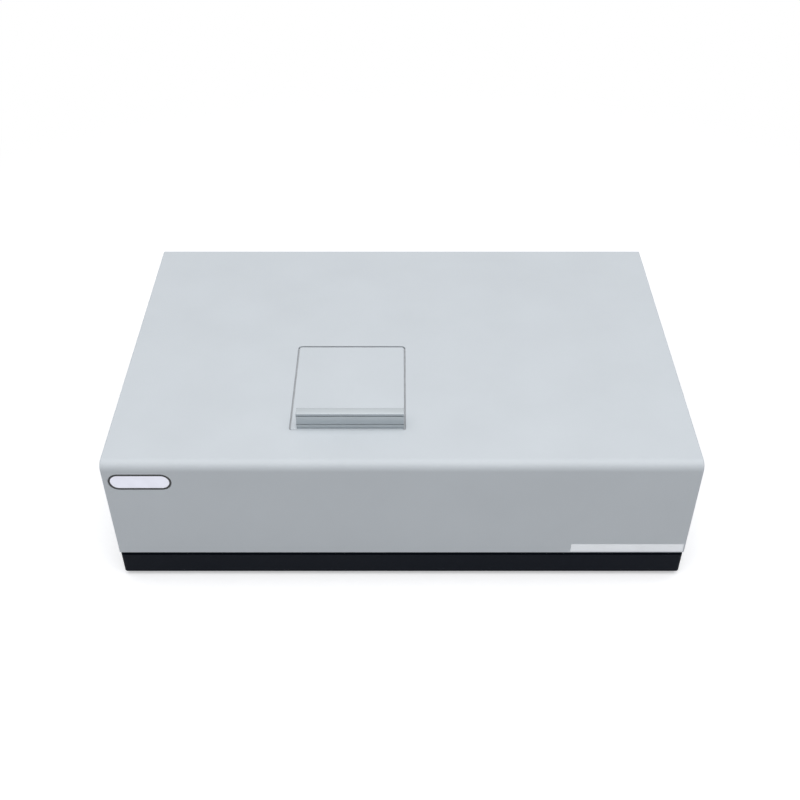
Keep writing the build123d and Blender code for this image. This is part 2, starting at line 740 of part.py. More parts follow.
# Optical bench on its posts
mono_rear = beam_y + 115.0
bench_x = (-side_x + 12.0, side_x - 10.0)
bench_y = (front_y + 14.0, mono_rear + 14.0)
bench_corner = 6.0
bench_post_radius = 4.6    # corner radius of the hexagon
bench_screw_radius = 2.0
bench_screw_head = (3.6, 2.2)
post_height = bench_under - tray_floor
bench_screw_length = bench_thickness + post_height / 2
post_side_inset = 14.0
post_end_inset = 8.0
bench_post_spots = [
    (x, y)
    for x in (bench_x[0] + post_side_inset, sum(bench_x) / 2 + 3.0, bench_x[1] - post_side_inset)
    for y in (bench_y[0] + post_end_inset, bench_y[1] - post_end_inset)
]
compartment_screw_spots = well_screw_spots + holder_screw_spots
with BuildPart() as optical_bench:
    block(bench_x, bench_y, (bench_under, bench_top))
    fillet(optical_bench.edges().filter_by(Axis.Z), bench_corner)
    with Locations(*[(x, y, bench_top) for x, y in bench_post_spots]):
        Cylinder(bench_screw_radius + running, 4 * bench_thickness, mode=Mode.SUBTRACT)
    with Locations(*[(x, y, bench_top) for x, y in compartment_screw_spots]):
        Cylinder(fitting_screw_radius + running, 2 * bench_thickness, mode=Mode.SUBTRACT)
    # Room for the ends of the foot bolts, which reach the bench only in a lower body
    with Locations(*[(x, y, tray_floor) for x, y in foot_places.values()]):
        Cylinder(
            foot_nut_radius + slip,
            foot_bolt_top + slip - tray_floor,
            align=(Align.CENTER, Align.CENTER, Align.MIN),
            mode=Mode.SUBTRACT,
        )
save(optical_bench, "optical_bench")

with BuildPart() as bench_posts:
    with BuildSketch(Plane.XY.offset(tray_floor)):
        with Locations(*bench_post_spots):
            RegularPolygon(bench_post_radius, 6)
            Circle(bench_screw_radius + running, mode=Mode.SUBTRACT)
    extrude(amount=post_height)
save(bench_posts, "bench_posts")

bench_screw = pan_screw(bench_screw_radius, bench_screw_length, *bench_screw_head)
with BuildPart() as bench_screws:
    with Locations(*[(x, y, bench_top) for x, y in bench_post_spots]):
        add(bench_screw)
save(bench_screws, "bench_screws")

well_screw = pan_screw(fitting_screw_radius, well_sheet + 3.5, *fitting_head)
holder_screw = pan_screw(fitting_screw_radius, holder_foot + well_sheet + 3.5, *fitting_head)
with BuildPart() as compartment_screws:
    with Locations(*[(x, y, well_floor) for x, y in well_screw_spots]):
        add(well_screw)
    with Locations(*[(x, y, well_floor + holder_foot) for x, y in holder_screw_spots]):
        add(holder_screw)
save(compartment_screws, "compartment_screws")

# Lamp housing, left of the compartment, with the chopper's ear on its rear side
lamp_sheet = 1.2
lamp_house_length = 68.0
lamp_house_right = well_left - 30.0
lamp_house_left = lamp_house_right - lamp_house_length
lamp_house_y = (beam_y - 30.0, beam_y + 15.0)
lamp_house_top = beam_z + 27.0
lamp_port_radius = 9.0
lamp_x = (lamp_house_left + lamp_house_right) / 2
lamp_floor = bench_top + lamp_sheet
chopper_y = beam_y + 30.0
chopper_radius = 36.0
chopper_x = lamp_house_right + 9.0
chopper_ear = 2.0
chopper_ear_x = lamp_house_right - 8.0
ear_rise = 16.0            # ear past the motor's axis, up and to the rear
motor_collar = 3.8
with BuildPart() as source_housing:
    block((lamp_house_left, lamp_house_right), lamp_house_y, (bench_top, lamp_house_top))
    block(
        (lamp_house_left + lamp_sheet, lamp_house_right - lamp_sheet),
        (lamp_house_y[0] + lamp_sheet, lamp_house_y[1] - lamp_sheet),
        (lamp_floor, lamp_house_top - lamp_sheet),
        Mode.SUBTRACT,
    )
    block(
        (chopper_ear_x, chopper_ear_x + chopper_ear),
        (lamp_house_y[1] - lamp_sheet, chopper_y + ear_rise),
        (bench_top, beam_z + ear_rise),
    )
    bar((lamp_house_right, beam_y, beam_z), lamp_port_radius, 4 * lamp_sheet, ALONG_X, Mode.SUBTRACT)
    collar_hole = motor_collar + cutout_gap
    bar((chopper_ear_x, chopper_y, beam_z), collar_hole, 4 * chopper_ear, ALONG_X, Mode.SUBTRACT)
    with BuildSketch(Plane.XY.offset(lamp_house_top)):
        with Locations((lamp_x, sum(lamp_house_y) / 2)):
            with GridLocations(9.0, 0, 6, 1):
                SlotOverall(30.0, 4.0, rotation=90)
    extrude(amount=-2 * lamp_sheet, mode=Mode.SUBTRACT)
save(source_housing, "source_housing")

# Lamp: a glass envelope on two pins, in a ceramic socket
socket_half = (9.0, 7.0)
socket_edge = 1.5
socket_top = beam_z - 15.0
lamp_pin_radius = 0.8
lamp_pin_length = 6.5
lamp_pin_half_gap = 3.2
lamp_neck = 5.0
lamp_radius = 6.5
neck_top = socket_top + 6.0
envelope_bottom = neck_top + 3.0
envelope_top = envelope_bottom + 12.0
pin_xs = about(lamp_x, lamp_pin_half_gap)
with BuildPart() as lamp_socket:
    block(about(lamp_x, socket_half[0]), about(beam_y, socket_half[1]), (lamp_floor, socket_top))
    fillet(lamp_socket.edges().filter_by(Axis.Z), socket_edge)
    with Locations(*[(x, beam_y, socket_top) for x in pin_xs]):
        Cylinder(lamp_pin_radius, 2 * (lamp_pin_length + slip), mode=Mode.SUBTRACT)
save(lamp_socket, "lamp_socket")

with BuildPart() as lamp_bulb:
    with BuildSketch(Plane.XZ.offset(-beam_y)):
        with BuildLine():
            Line((lamp_x, socket_top), (lamp_x + lamp_neck, socket_top))
            Line((lamp_x + lamp_neck, socket_top), (lamp_x + lamp_neck, neck_top))
            Line((lamp_x + lamp_neck, neck_top), (lamp_x + lamp_radius, envelope_bottom))
            Line((lamp_x + lamp_radius, envelope_bottom), (lamp_x + lamp_radius, envelope_top))
            TangentArc(
                (lamp_x + lamp_radius, envelope_top),
                (lamp_x, envelope_top + lamp_radius),
                tangent=(0, 1),
            )
            Line((lamp_x, envelope_top + lamp_radius), (lamp_x, socket_top))
        make_face()
    revolve(axis=Axis((lamp_x, beam_y, 0), (0, 0, 1)))
    with Locations(*[(x, beam_y, socket_top) for x in pin_xs]):
        Cylinder(lamp_pin_radius - running, 2 * lamp_pin_length)
save(lamp_bulb, "lamp_bulb")


def concave_mirror(radius, thickness, focal_radius):
    """A round mirror facing +X, its concave face's rim at x = 0."""
    depth = focal_radius - (focal_radius**2 - radius**2) ** 0.5
    with BuildPart() as mirror_blank:
        bar((-thickness / 2, 0, 0), radius, thickness, ALONG_X)
        with Locations((focal_radius - depth, 0, 0)):
            Sphere(focal_radius, mode=Mode.SUBTRACT)
    return mirror_blank.part


lamp_mirror_radius = 13.0
lamp_mirror_thickness = 6.0
lamp_mirror_curve = 40.0
lamp_mirror_x = lamp_house_left + lamp_sheet + 9.0
lamp_mirror = concave_mirror(lamp_mirror_radius, lamp_mirror_thickness, lamp_mirror_curve)
with BuildPart() as source_mirror:
    with Locations((lamp_mirror_x, beam_y, beam_z)):
        add(lamp_mirror)
    block(
        (lamp_house_left + lamp_sheet, lamp_mirror_x - lamp_mirror_thickness + over),
        about(beam_y, 5.0),
        (lamp_floor, beam_z),
    )
save(source_mirror, "source_mirror")

# Chopper: a slotted disc on its motor
chopper_motor_radius = 12.0
chopper_motor_length = 24.0
chopper_shaft = 1.5
shaft_in_motor = 14.0
chopper_disc_sheet = 1.2
chopper_hub_radius = 6.0
chopper_hub_length = 5.0
with BuildPart() as chopper_motor:
    motor_middle = chopper_ear_x - chopper_motor_length / 2
    bar((motor_middle, chopper_y, beam_z), chopper_motor_radius, chopper_motor_length, ALONG_X)
    fillet(chopper_motor.edges().filter_by(GeomType.CIRCLE), 1.0)
    bar((chopper_ear_x + chopper_ear / 2, chopper_y, beam_z), motor_collar, chopper_ear, ALONG_X)
    shaft_hole = 2 * (shaft_in_motor + chopper_ear)
    bar((chopper_ear_x, chopper_y, beam_z), chopper_shaft + running, shaft_hole, ALONG_X, Mode.SUBTRACT)
save(chopper_motor, "chopper_motor")

with BuildPart() as chopper_disc:
    with BuildSketch(Plane.YZ.offset(chopper_x)):
        with Locations((chopper_y, beam_z)):
            Circle(chopper_radius)
            with PolarLocations(chopper_radius - 12.0, 6):
                SlotOverall(18.0, 12.0, rotation=90, mode=Mode.SUBTRACT)
    extrude(amount=chopper_disc_sheet)
    hub_x = chopper_x - chopper_hub_length / 2
    bar((hub_x, chopper_y, beam_z), chopper_hub_radius, chopper_hub_length, ALONG_X)
    shaft_start = chopper_ear_x - shaft_in_motor
    shaft_end = chopper_x + chopper_disc_sheet + 2.0
    bar(((shaft_start + shaft_end) / 2, chopper_y, beam_z), chopper_shaft, shaft_end - shaft_start, ALONG_X)
save(chopper_disc, "chopper_disc")

# Monochromator housing, right of the compartment
mono_left = well_sides[1] + well_boss_length + 6.0
mono_right = side_x - 16.0
mono_top = beam_z + mirror_radius + 12.5
mono_floor = bench_top + mono_wall
mono_corner = 4.0
snout_length = 5.0
snout_radius = 11.0
mono_x = (mono_left, mono_right)
grating_x = mono_left + 73.0
grating_y = beam_y + 47.0
exit_y = beam_y + 84.0
mirror_x = mono_right - 24.0
second_mirror_y = beam_y + 86.0
pin_y = grating_y - sine_arm_length
screw_y = pin_y - 8.0
screw_z = mono_floor + motor_size / 2 + 0.5
guide_y = screw_y - 11.0
guide_radius = 2.5
journal_radius = 2.5       # leadscrew's plain ends
boss_thickness = 8.0
boss_edge = 6.0            # boss past the screw's axis
guide_edge = 5.0           # boss and nut past the guide rod's axis
guide_gap = 1.0            # boss and nut to the housing's wall
mono_front = guide_y - guide_edge - guide_gap - mono_wall
mono_y = (mono_front, mono_rear)
nut_half = 8.0
near_boss = grating_x - nut_half - scan_travel - boss_thickness - 18.0
far_boss = grating_x + nut_half + scan_travel + 36.0
motor_face = far_boss + 26.0
motor_collar_radius = 6.0
mount_thickness = 4.0
bearing_outer = 8.0
bearing_inner = 4.0
bearing_width = 5.0
bearing_post_radius = 12.0
bearing_bottom = mono_floor + 1.0
bearing_post_top = mono_floor + 14.0
guide_length = far_boss + boss_thickness - near_boss
guide_middle = near_boss + guide_length / 2
mono_screw_radius = 1.0
mono_screw_head = (1.9, 1.3)
mono_screw_length = 9.0
mono_screw_inset = 2.5
mono_screw_spots = [
    (x, y)
    for x in (mono_left + mono_screw_inset, sum(mono_x) / 2, mono_right - mono_screw_inset)
    for y in (mono_front + mono_screw_inset, mono_rear - mono_screw_inset)
]

with BuildPart() as mono_housing:
    block(mono_x, mono_y, (bench_top, mono_top))
    fillet(mono_housing.edges().filter_by(Axis.Z), mono_corner)
    block(
        (mono_left + mono_wall, mono_right - mono_wall),
        (mono_front + mono_wall, mono_rear - mono_wall),
        (mono_floor, mono_top + over),
        Mode.SUBTRACT,
    )
    bar((mono_left - snout_length / 2, beam_y, beam_z), snout_radius, snout_length, ALONG_X)
    for port_y in (beam_y, exit_y):
        bar((mono_left, port_y, beam_z), beam_radius + 1.0, 4 * (snout_length + over), ALONG_X, Mode.SUBTRACT)
    post_middle = (grating_x, grating_y, (mono_floor + bearing_post_top) / 2)
    bar(post_middle, bearing_post_radius, bearing_post_top - mono_floor, ALONG_Z)
    bar(post_middle, bearing_outer, bearing_post_top - mono_floor + over, ALONG_Z, Mode.SUBTRACT)
    for boss_x in (near_boss, far_boss):
        block(
            (boss_x, boss_x + boss_thickness),
            (guide_y - guide_edge, screw_y + boss_edge),
            (mono_floor, screw_z + boss_edge),
        )
    near_middle = (near_boss + boss_thickness / 2, screw_y, screw_z)
    far_middle = (far_boss + boss_thickness / 2, screw_y, screw_z)
    bar(near_middle, journal_radius + running, boss_thickness + over, ALONG_X, Mode.SUBTRACT)
    bar(far_middle, screw_radius + 1.0, boss_thickness + over, ALONG_X, Mode.SUBTRACT)
    bar((guide_middle, guide_y, screw_z), guide_radius, guide_length + over, ALONG_X, Mode.SUBTRACT)
    block(
        (motor_face - mount_thickness, motor_face),
        about(screw_y, motor_size / 2),
        (mono_floor, screw_z + motor_size / 2),
    )
    mount_middle = (motor_face - mount_thickness / 2, screw_y, screw_z)
    bar(mount_middle, motor_collar_radius, mount_thickness + over, ALONG_X, Mode.SUBTRACT)
    with Locations(*[(x, y, mono_top) for x, y in mono_screw_spots]):
        Cylinder(mono_screw_radius + running, 2 * mono_screw_length, mode=Mode.SUBTRACT)
save(mono_housing, "mono_housing")

mono_lid_thickness = 3.0
with BuildPart() as mono_lid:
    block(mono_x, mono_y, (mono_top, mono_top + mono_lid_thickness))
    fillet(mono_lid.edges().filter_by(Axis.Z), mono_corner)
    with Locations(*[(x, y, mono_top) for x, y in mono_screw_spots]):
        Cylinder(mono_screw_radius + running, 2 * mono_screw_length, mode=Mode.SUBTRACT)
save(mono_lid, "mono_lid")

mono_screw = pan_screw(mono_screw_radius, mono_screw_length, *mono_screw_head)
with BuildPart() as mono_screws:
    with Locations(*[(x, y, mono_top + mono_lid_thickness) for x, y in mono_screw_spots]):
        add(mono_screw)
save(mono_screws, "mono_screws")

slit_width = 0.8
slit_height = 8.0
with BuildPart() as slit_plates:
    with BuildSketch(Plane.YZ.offset(mono_left + mono_wall)):
        with Locations((beam_y, beam_z), (exit_y, beam_z)):
            Circle(snout_radius)
            SlotOverall(slit_height, slit_width, rotation=90, mode=Mode.SUBTRACT)
    extrude(amount=1.5)
save(slit_plates, "slit_plates")


def facing(from_point, first_target, second_target):
    """The angle about Z at which a mirror at one point sends light between two others."""
    first = atan2(first_target[1] - from_point[1], first_target[0] - from_point[0])
    second = atan2(second_target[1] - from_point[1], second_target[0] - from_point[0])
    if second - first > pi:
        second -= 2 * pi
    if first - second > pi:
        first -= 2 * pi
    return degrees((first + second) / 2)


# Concave mirrors, each aimed between its slit and the grating
entrance = (mono_left, beam_y)
exit_point = (mono_left, exit_y)
grating_point = (grating_x, grating_y)
first_mirror = (mirror_x, beam_y)
second_mirror = (mirror_x, second_mirror_y)
mono_mirror_curve = 400.0
mirror_places = [
    Location((*first_mirror, beam_z), (0, 0, facing(first_mirror, entrance, grating_point))),
    Location((*second_mirror, beam_z), (0, 0, facing(second_mirror, exit_point, grating_point))),
]
mono_mirror = concave_mirror(mirror_radius, mirror_thickness, mono_mirror_curve)

mount_plate = 5.0
mount_half_width = 15.0
mount_toe = 2.0
mount_corner = 8.0
with BuildPart() as mount_blank:
    plate_x = (-mirror_thickness - mount_plate, -mirror_thickness)
    mount_bottom = mono_floor - beam_z
    block(plate_x, about(0, mount_half_width), (mount_bottom, mirror_radius))
    block((plate_x[0], mount_toe), about(0, mount_half_width), (mount_bottom, mount_bottom + mount_plate))
    fillet(mount_blank.edges().filter_by(Axis.X).group_by(Axis.Z)[-1], mount_corner)

with BuildPart() as concave_mirrors:
    with Locations(*mirror_places):
        add(mono_mirror)
save(concave_mirrors, "concave_mirrors")

with BuildPart() as mirror_mounts:
    with Locations(*mirror_places):
        add(mount_blank.part)
save(mirror_mounts, "mirror_mounts")

# Grating on its turning table, moved by the sine arm
sine_arm_thickness = 4.0
arm_bottom = screw_z + 6.5
arm_top = arm_bottom + sine_arm_thickness
table_radius = 20.0
table_thickness = 3.5
table_bottom = arm_top + 1.5
table_top = table_bottom + table_thickness
grating_width = 32.0
grating_height = 30.0
grating_thickness = 8.0
grating_edge = 0.6
grating_back = grating_x - 7.0
table_shaft_radius = bearing_inner - running
with BuildPart() as grating_table:
    shaft_middle = (grating_x, grating_y, (bearing_bottom + table_top) / 2)
    bar(shaft_middle, table_shaft_radius, table_top - bearing_bottom, ALONG_Z)
    table_middle = (grating_x, grating_y, (table_bottom + table_top) / 2)
    bar(table_middle, table_radius, table_thickness, ALONG_Z)
    block(
        (grating_back - mount_plate, grating_back),
        about(grating_y, grating_width / 2),
        (table_top, table_top + grating_height),
    )
save(grating_table, "grating_table")

with BuildPart() as diffraction_grating:
    block(
        (grating_back, grating_back + grating_thickness),
        about(grating_y, grating_width / 2),
        (table_top, table_top + grating_height),
    )
    chamfer(diffraction_grating.faces().sort_by(Axis.X)[-1].edges(), grating_edge)
save(diffraction_grating, "diffraction_grating")

with BuildPart() as shaft_bearings:
    for ring_bottom in (bearing_bottom, bearing_post_top - bearing_width):
        with BuildSketch(Plane.XY.offset(ring_bottom)):
            with Locations((grating_x, grating_y)):
                Circle(bearing_outer)
                Circle(bearing_inner, mode=Mode.SUBTRACT)
        extrude(amount=bearing_width)
save(shaft_bearings, "shaft_bearings")

arm_hub_radius = 9.0
arm_half_width = 4.0
arm_pin_length = 8.0
with BuildPart() as sine_arm:
    arm_middle_z = (arm_bottom + arm_top) / 2
    hub_middle = (grating_x, grating_y, arm_middle_z)
    bar(hub_middle, arm_hub_radius, sine_arm_thickness, ALONG_Z)
    block(about(grating_x, arm_half_width), (pin_y, grating_y), (arm_bottom, arm_top))
    bar((grating_x, pin_y, arm_middle_z), arm_half_width, sine_arm_thickness, ALONG_Z)
    bar((grating_x, pin_y, arm_bottom - arm_pin_length / 2), arm_pin_radius, arm_pin_length, ALONG_Z)
    bar(hub_middle, table_shaft_radius, 2 * sine_arm_thickness, ALONG_Z, Mode.SUBTRACT)
save(sine_arm, "sine_arm")

nut_top = arm_bottom - 1.0
pin_slot_reach = 0.9       # slot past the pin, along the sine arm
with BuildPart() as scan_nut:
    block(
        about(grating_x, nut_half),
        (guide_y - guide_edge, pin_y + guide_edge),
        (screw_z - boss_edge, nut_top),
    )
    bar((grating_x, screw_y, screw_z), screw_radius + running, 3 * nut_half, ALONG_X, Mode.SUBTRACT)
    bar((grating_x, guide_y, screw_z), guide_radius + running, 3 * nut_half, ALONG_X, Mode.SUBTRACT)
    block(
        about(grating_x, arm_pin_radius + pin_slot_gap),
        about(pin_y, arm_pin_radius + pin_slot_reach),
        (arm_bottom - arm_pin_length - over, nut_top + over),
        Mode.SUBTRACT,
    )
save(scan_nut, "scan_nut")

# Leadscrew between the near boss and the motor: the plain end clears the nut's whole travel
motor_length = 32.0
screw_in_motor = 22.0
thread_gap = 1.0
screw_start = near_boss + thread_gap
screw_end = motor_face + screw_in_motor
thread_start = near_boss + boss_thickness + thread_gap
thread_end = motor_face - mount_thickness - 2 * thread_gap
with BuildPart() as leadscrew:
    bar(((screw_start + screw_end) / 2, screw_y, screw_z), journal_radius, screw_end - screw_start, ALONG_X)
    bar(((thread_start + thread_end) / 2, screw_y, screw_z), screw_radius, thread_end - thread_start, ALONG_X)
save(leadscrew, "leadscrew")

with BuildPart() as guide_rod:
    bar((guide_middle, guide_y, screw_z), guide_radius, guide_length, ALONG_X)
    chamfer(guide_rod.edges().filter_by(GeomType.CIRCLE), 0.5)
save(guide_rod, "guide_rod")

with BuildPart() as stepper_motor:
    block(
        (motor_face, motor_face + motor_length),
        about(screw_y, motor_size / 2),
        about(screw_z, motor_size / 2),
    )
    chamfer(stepper_motor.edges().filter_by(Axis.X), 3.0)
    screw_hole = 2 * (screw_in_motor + over)
    bar((motor_face, screw_y, screw_z), journal_radius + running, screw_hole, ALONG_X, Mode.SUBTRACT)
save(stepper_motor, "stepper_motor")

# Detector outside the exit slit
detector_half = 14.0
detector_length = 24.0
detector_bore = 8.0
detector_bore_depth = 10.0
sensor_radius = 4.6
sensor_height = 3.0
with BuildPart() as detector:
    block(
        (mono_left - detector_length, mono_left),
        about(exit_y, detector_half),
        (bench_top, beam_z + detector_half),
    )
    fillet(detector.edges().filter_by(Axis.Z), 2.0)
    bar((mono_left, exit_y, beam_z), detector_bore, 2 * detector_bore_depth, ALONG_X, Mode.SUBTRACT)
    sensor_x = mono_left - detector_bore_depth + sensor_height / 2
    bar((sensor_x, exit_y, beam_z), sensor_radius, sensor_height, ALONG_X)
save(detector, "detector")

# Power supply in its pierced steel case
supply_x = (-side_x + 14.0, -side_x + 142.0)
supply_y = (bench_y[1] + 4.0, panel_front - 30.0)
supply_top = tray_floor + 36.0
supply_sheet = 1.0
terminal_depth = 13.0
terminal_top = tray_floor + 16.0
with BuildPart() as power_supply:
    block(supply_x, supply_y, (tray_floor, supply_top))
    block(
        (supply_x[0] + supply_sheet, supply_x[1] - terminal_depth - supply_sheet),
        (supply_y[0] + supply_sheet, supply_y[1] - supply_sheet),
        (tray_floor + supply_sheet, supply_top - supply_sheet),
        Mode.SUBTRACT,
    )
    block(
        (supply_x[1] - terminal_depth, supply_x[1] + over),
        (supply_y[0] - over, supply_y[1] + over),
        (terminal_top, supply_top + over),
        Mode.SUBTRACT,
    )
    with BuildSketch(Plane.XY.offset(supply_top)):
        with Locations((sum(supply_x) / 2 - 8.0, sum(supply_y) / 2)):
            with GridLocations(9.0, 9.0, 9, 3):
                Circle(2.4)
    extrude(amount=-2 * supply_sheet, mode=Mode.SUBTRACT)
save(power_supply, "power_supply")

# Main board on its studs
board_bottom = tray_floor + board_stud_height
board_thickness = 1.6
board_top = board_bottom + board_thickness
board_y = (board_front + board_rear) / 2
with BuildPart() as main_board:
    block((board_left, board_right), (board_front, board_rear), (board_bottom, board_top))
save(main_board, "main_board")

chip_size = 18.0
chip_height = 2.4
can_radius = 5.0
can_height = 16.0
connector_y = board_front + 4.0
with BuildPart() as board_components:
    for chip_left in (board_left + 40, board_left + 80, board_left + 128):
        chip_x = (chip_left, chip_left + chip_size)
        block(chip_x, about(board_y, chip_size / 2), (board_top, board_top + chip_height))
    with Locations(*[(board_right - inset, board_y + 14, board_top) for inset in (28, 15)]):
        Cylinder(can_radius, can_height, align=(Align.CENTER, Align.CENTER, Align.MIN))
    block((board_left + 30, board_left + 80), (connector_y, connector_y + 9), (board_top, board_top + 9))
    block((board_left + 95, board_left + 125), (connector_y, connector_y + 6), (board_top, board_top + 7))
    block((board_right - 50, board_right - 26), (board_y - 26, board_y - 6), (board_top, board_top + 18))
save(board_components, "board_components")

# Mains inlet with its fuse drawer
inlet_flange = (52.0, 35.0)
inlet_corner = 3.0
flange_thickness = 2.5
fitting_face = panel_back + flange_thickness
inlet_depth = 30.0
socket_z = inlet_z + 5.5
socket_size = (24.4, 16.6)
socket_depth = 17.0
socket_chamfer = 4.0
pin_recess = 6.5           # inlet's face to the ends of its pins
pin_half_width = 1.0
pin_half_height = 2.0
pin_spots = [(-7.0, -2.0), (7.0, -2.0), (0.0, 2.5)]
inlet_screw_head = 2.9
drawer_z = inlet_z - 9.5
drawer_half = (10.0, 4.2)
drawer_depth = 24.0
with BuildPart() as mains_inlet:
    with BuildSketch(Plane.XZ.offset(-fitting_face)):
        with Locations((inlet_x, inlet_z)):
            RectangleRounded(*inlet_flange, inlet_corner)
    extrude(amount=flange_thickness)
    block(
        about(inlet_x, inlet_body[0] / 2),
        (fitting_face - inlet_depth, panel_back),
        about(inlet_z, inlet_body[1] / 2),
    )
    with BuildSketch(Plane.XZ.offset(-fitting_face)) as socket_mouth:
        with Locations((inlet_x, socket_z)):
            Rectangle(*socket_size)
        chamfer(socket_mouth.vertices().group_by(Axis.Y)[-1], socket_chamfer)
    extrude(amount=socket_depth, mode=Mode.SUBTRACT)
    block(
        about(inlet_x, drawer_half[0]),
        (fitting_face - drawer_depth, fitting_face + over),
        about(drawer_z, drawer_half[1]),
        Mode.SUBTRACT,
    )
    for pin_shift, pin_rise in pin_spots:
        block(
            about(inlet_x + pin_shift, pin_half_width),
            (fitting_face - socket_depth - over, fitting_face - pin_recess),
            about(socket_z + pin_rise, pin_half_height),
        )
    with Locations(*[Location((x, fitting_face, inlet_z), ALONG_Y) for x in inlet_screw_xs]):
        CounterSinkHole(fitting_screw_radius + running, inlet_screw_head, depth=2 * flange_thickness)
save(mains_inlet, "mains_inlet")

# Fuse drawer: a small open tray with a finger notch in its face
drawer_wall_x = 1.7
drawer_front = 3.5
drawer_recess = 0.5        # drawer's face behind the inlet's face
drawer_back = fitting_face - drawer_depth + 1.0
drawer_face = fitting_face - drawer_recess
drawer_x = about(inlet_x, drawer_half[0] - slip)
drawer_heights = about(drawer_z, drawer_half[1] - slip)
notch_half = 2.5
with BuildPart() as fuse_drawer:
    block(drawer_x, (drawer_back, drawer_face), drawer_heights)
    block(
        (drawer_x[0] + drawer_wall_x, drawer_x[1] - drawer_wall_x),
        (drawer_back + 2.0, drawer_face - drawer_front),
        (drawer_heights[0] + 1.3, drawer_heights[1] + over),
        Mode.SUBTRACT,
    )
    block(
        about(inlet_x, notch_half),
        (drawer_face - 1.7, drawer_face + over),
        (drawer_heights[1] - 2.3, drawer_heights[1] - 1.1),
        Mode.SUBTRACT,
    )
save(fuse_drawer, "fuse_drawer")

# Power switch: a framed box with the rocker's pin inside
bezel_size = (25.0, 33.0)
bezel_corner = 2.0
bezel_thickness = 2.0
switch_depth = 22.0
rocker_radius = 12.5
rocker_width = 15.0
rocker_pin = 1.5
rocker_pivot_depth = 4.5   # frame's face to the rocker's axis
rocker_pocket = 8.0        # pocket behind the axis
bezel_face = panel_back + bezel_thickness
rocker_pivot_y = bezel_face - rocker_pivot_depth
with BuildPart() as switch_body:
    with BuildSketch(Plane.XZ.offset(-bezel_face)):
        with Locations((switch_x, inlet_z)):
            RectangleRounded(*bezel_size, bezel_corner)
    extrude(amount=bezel_thickness)
    block(
        about(switch_x, switch_body_size[0] / 2),
        (panel_back - switch_depth, panel_back),
        about(inlet_z, switch_body_size[1] / 2),
    )
    block(
        about(switch_x, rocker_width / 2 + slip),
        (rocker_pivot_y - rocker_pocket, bezel_face + over),
        about(inlet_z, rocker_radius + slip),
        Mode.SUBTRACT,
    )
    bar((switch_x, rocker_pivot_y, inlet_z), rocker_pin - running, rocker_width + 2 * slip, ALONG_X)
save(switch_body, "switch_body")

# Rocker: round ends about its axis, a face dished to the middle, and a flat back.
# It rests tilted one way and swings to the other side.
rocker_middle = 5.0        # axis to the lowest line of the face
rocker_rise = 2.4          # the dish's depth over half the rocker
rocker_back = 3.0
rocker_edge = 0.6
with BuildPart() as rocker_blank:
    with BuildSketch(Plane.YZ):
        Circle(rocker_radius)
        Circle(rocker_pin, mode=Mode.SUBTRACT)
        with Locations((-rocker_back, 0)):
            Rectangle(rocker_radius, 2 * rocker_radius, align=(Align.MAX, Align.CENTER), mode=Mode.SUBTRACT)
        with BuildLine():
            Polyline(
                (rocker_middle, 0),
                (rocker_middle + rocker_rise, rocker_radius),
                (2 * rocker_radius, rocker_radius),
                (2 * rocker_radius, -rocker_radius),
                (rocker_middle + rocker_rise, -rocker_radius),
                close=True,
            )
        make_face(mode=Mode.SUBTRACT)
    extrude(amount=rocker_width / 2, both=True)
    rocker_rims = rocker_blank.edges().filter_by(Axis.X).sort_by(Axis.Y)[-2:]
    fillet(rocker_rims, rocker_edge)
with BuildPart() as rocker_button:
    with Locations(Location((switch_x, rocker_pivot_y, inlet_z), (-rocker_swing / 2, 0, 0))):
        add(rocker_blank.part)
save(rocker_button, "rocker_button")

# Data socket: a steel shell with its tongue
shell_proud = 0.5
shell_depth = 16.0
shell_mouth = (8.6, 8.0)
shell_bore = 13.0
shell_chamfer = 1.6
shell_plate = 2.0
shell_plate_half = 8.0
tongue_half = (2.8, 1.6)
tongue_length = 8.0
shell_face = panel_back + shell_proud
shell_floor = shell_face - shell_bore
with BuildPart() as usb_port:
    block(
        about(usb_x, usb_size[0] / 2),
        (panel_back - shell_depth, shell_face),
        about(usb_z, usb_size[1] / 2),
    )
    block(
        about(usb_x, shell_plate_half),
        (panel_front - shell_plate, panel_front),
        about(usb_z, shell_plate_half),
    )
    with BuildSketch(Plane.XZ.offset(-shell_face)) as usb_mouth:
        with Locations((usb_x, usb_z)):
            Rectangle(*shell_mouth)
        chamfer(usb_mouth.vertices().group_by(Axis.Y)[-1], shell_chamfer)
    extrude(amount=shell_bore, mode=Mode.SUBTRACT)
    block(
        about(usb_x, tongue_half[0]),
        (shell_floor, shell_floor + tongue_length),
        about(usb_z, tongue_half[1]),
    )
save(usb_port, "usb_port")

# Cooling fan: square frame, three-sided struts behind and a rotor on its stub
fan_depth = 15.0
fan_bore = fan_size / 2 - fan_wall
fan_hub = 12.5
fan_corner = 3.0
fan_strut = (2.5, 3.0)
fan_pin = 1.5
fan_inside = panel_front - fan_depth
strut_y = fan_inside + fan_strut[0] / 2
with BuildPart() as fan_housing:
    with BuildSketch(Plane.XZ.offset(-panel_front)):
        with Locations((fan_x, fan_z)):
            RectangleRounded(fan_size, fan_size, fan_corner)
            Circle(fan_bore, mode=Mode.SUBTRACT)
            with GridLocations(fan_screw_spacing, fan_screw_spacing, 2, 2):
                Circle(fitting_screw_radius + running, mode=Mode.SUBTRACT)
    extrude(amount=fan_depth)
    bar((fan_x, strut_y, fan_z), fan_hub, fan_strut[0], ALONG_Y)
    for turn in (45, 135):
        with Locations(Location((fan_x, strut_y, fan_z), (0, turn, 0))):
            Box(2 * fan_bore + over, *fan_strut)
    bar((fan_x, fan_inside + fan_depth / 2, fan_z), fan_pin, fan_depth - 5.0, ALONG_Y)
save(fan_housing, "fan_housing")

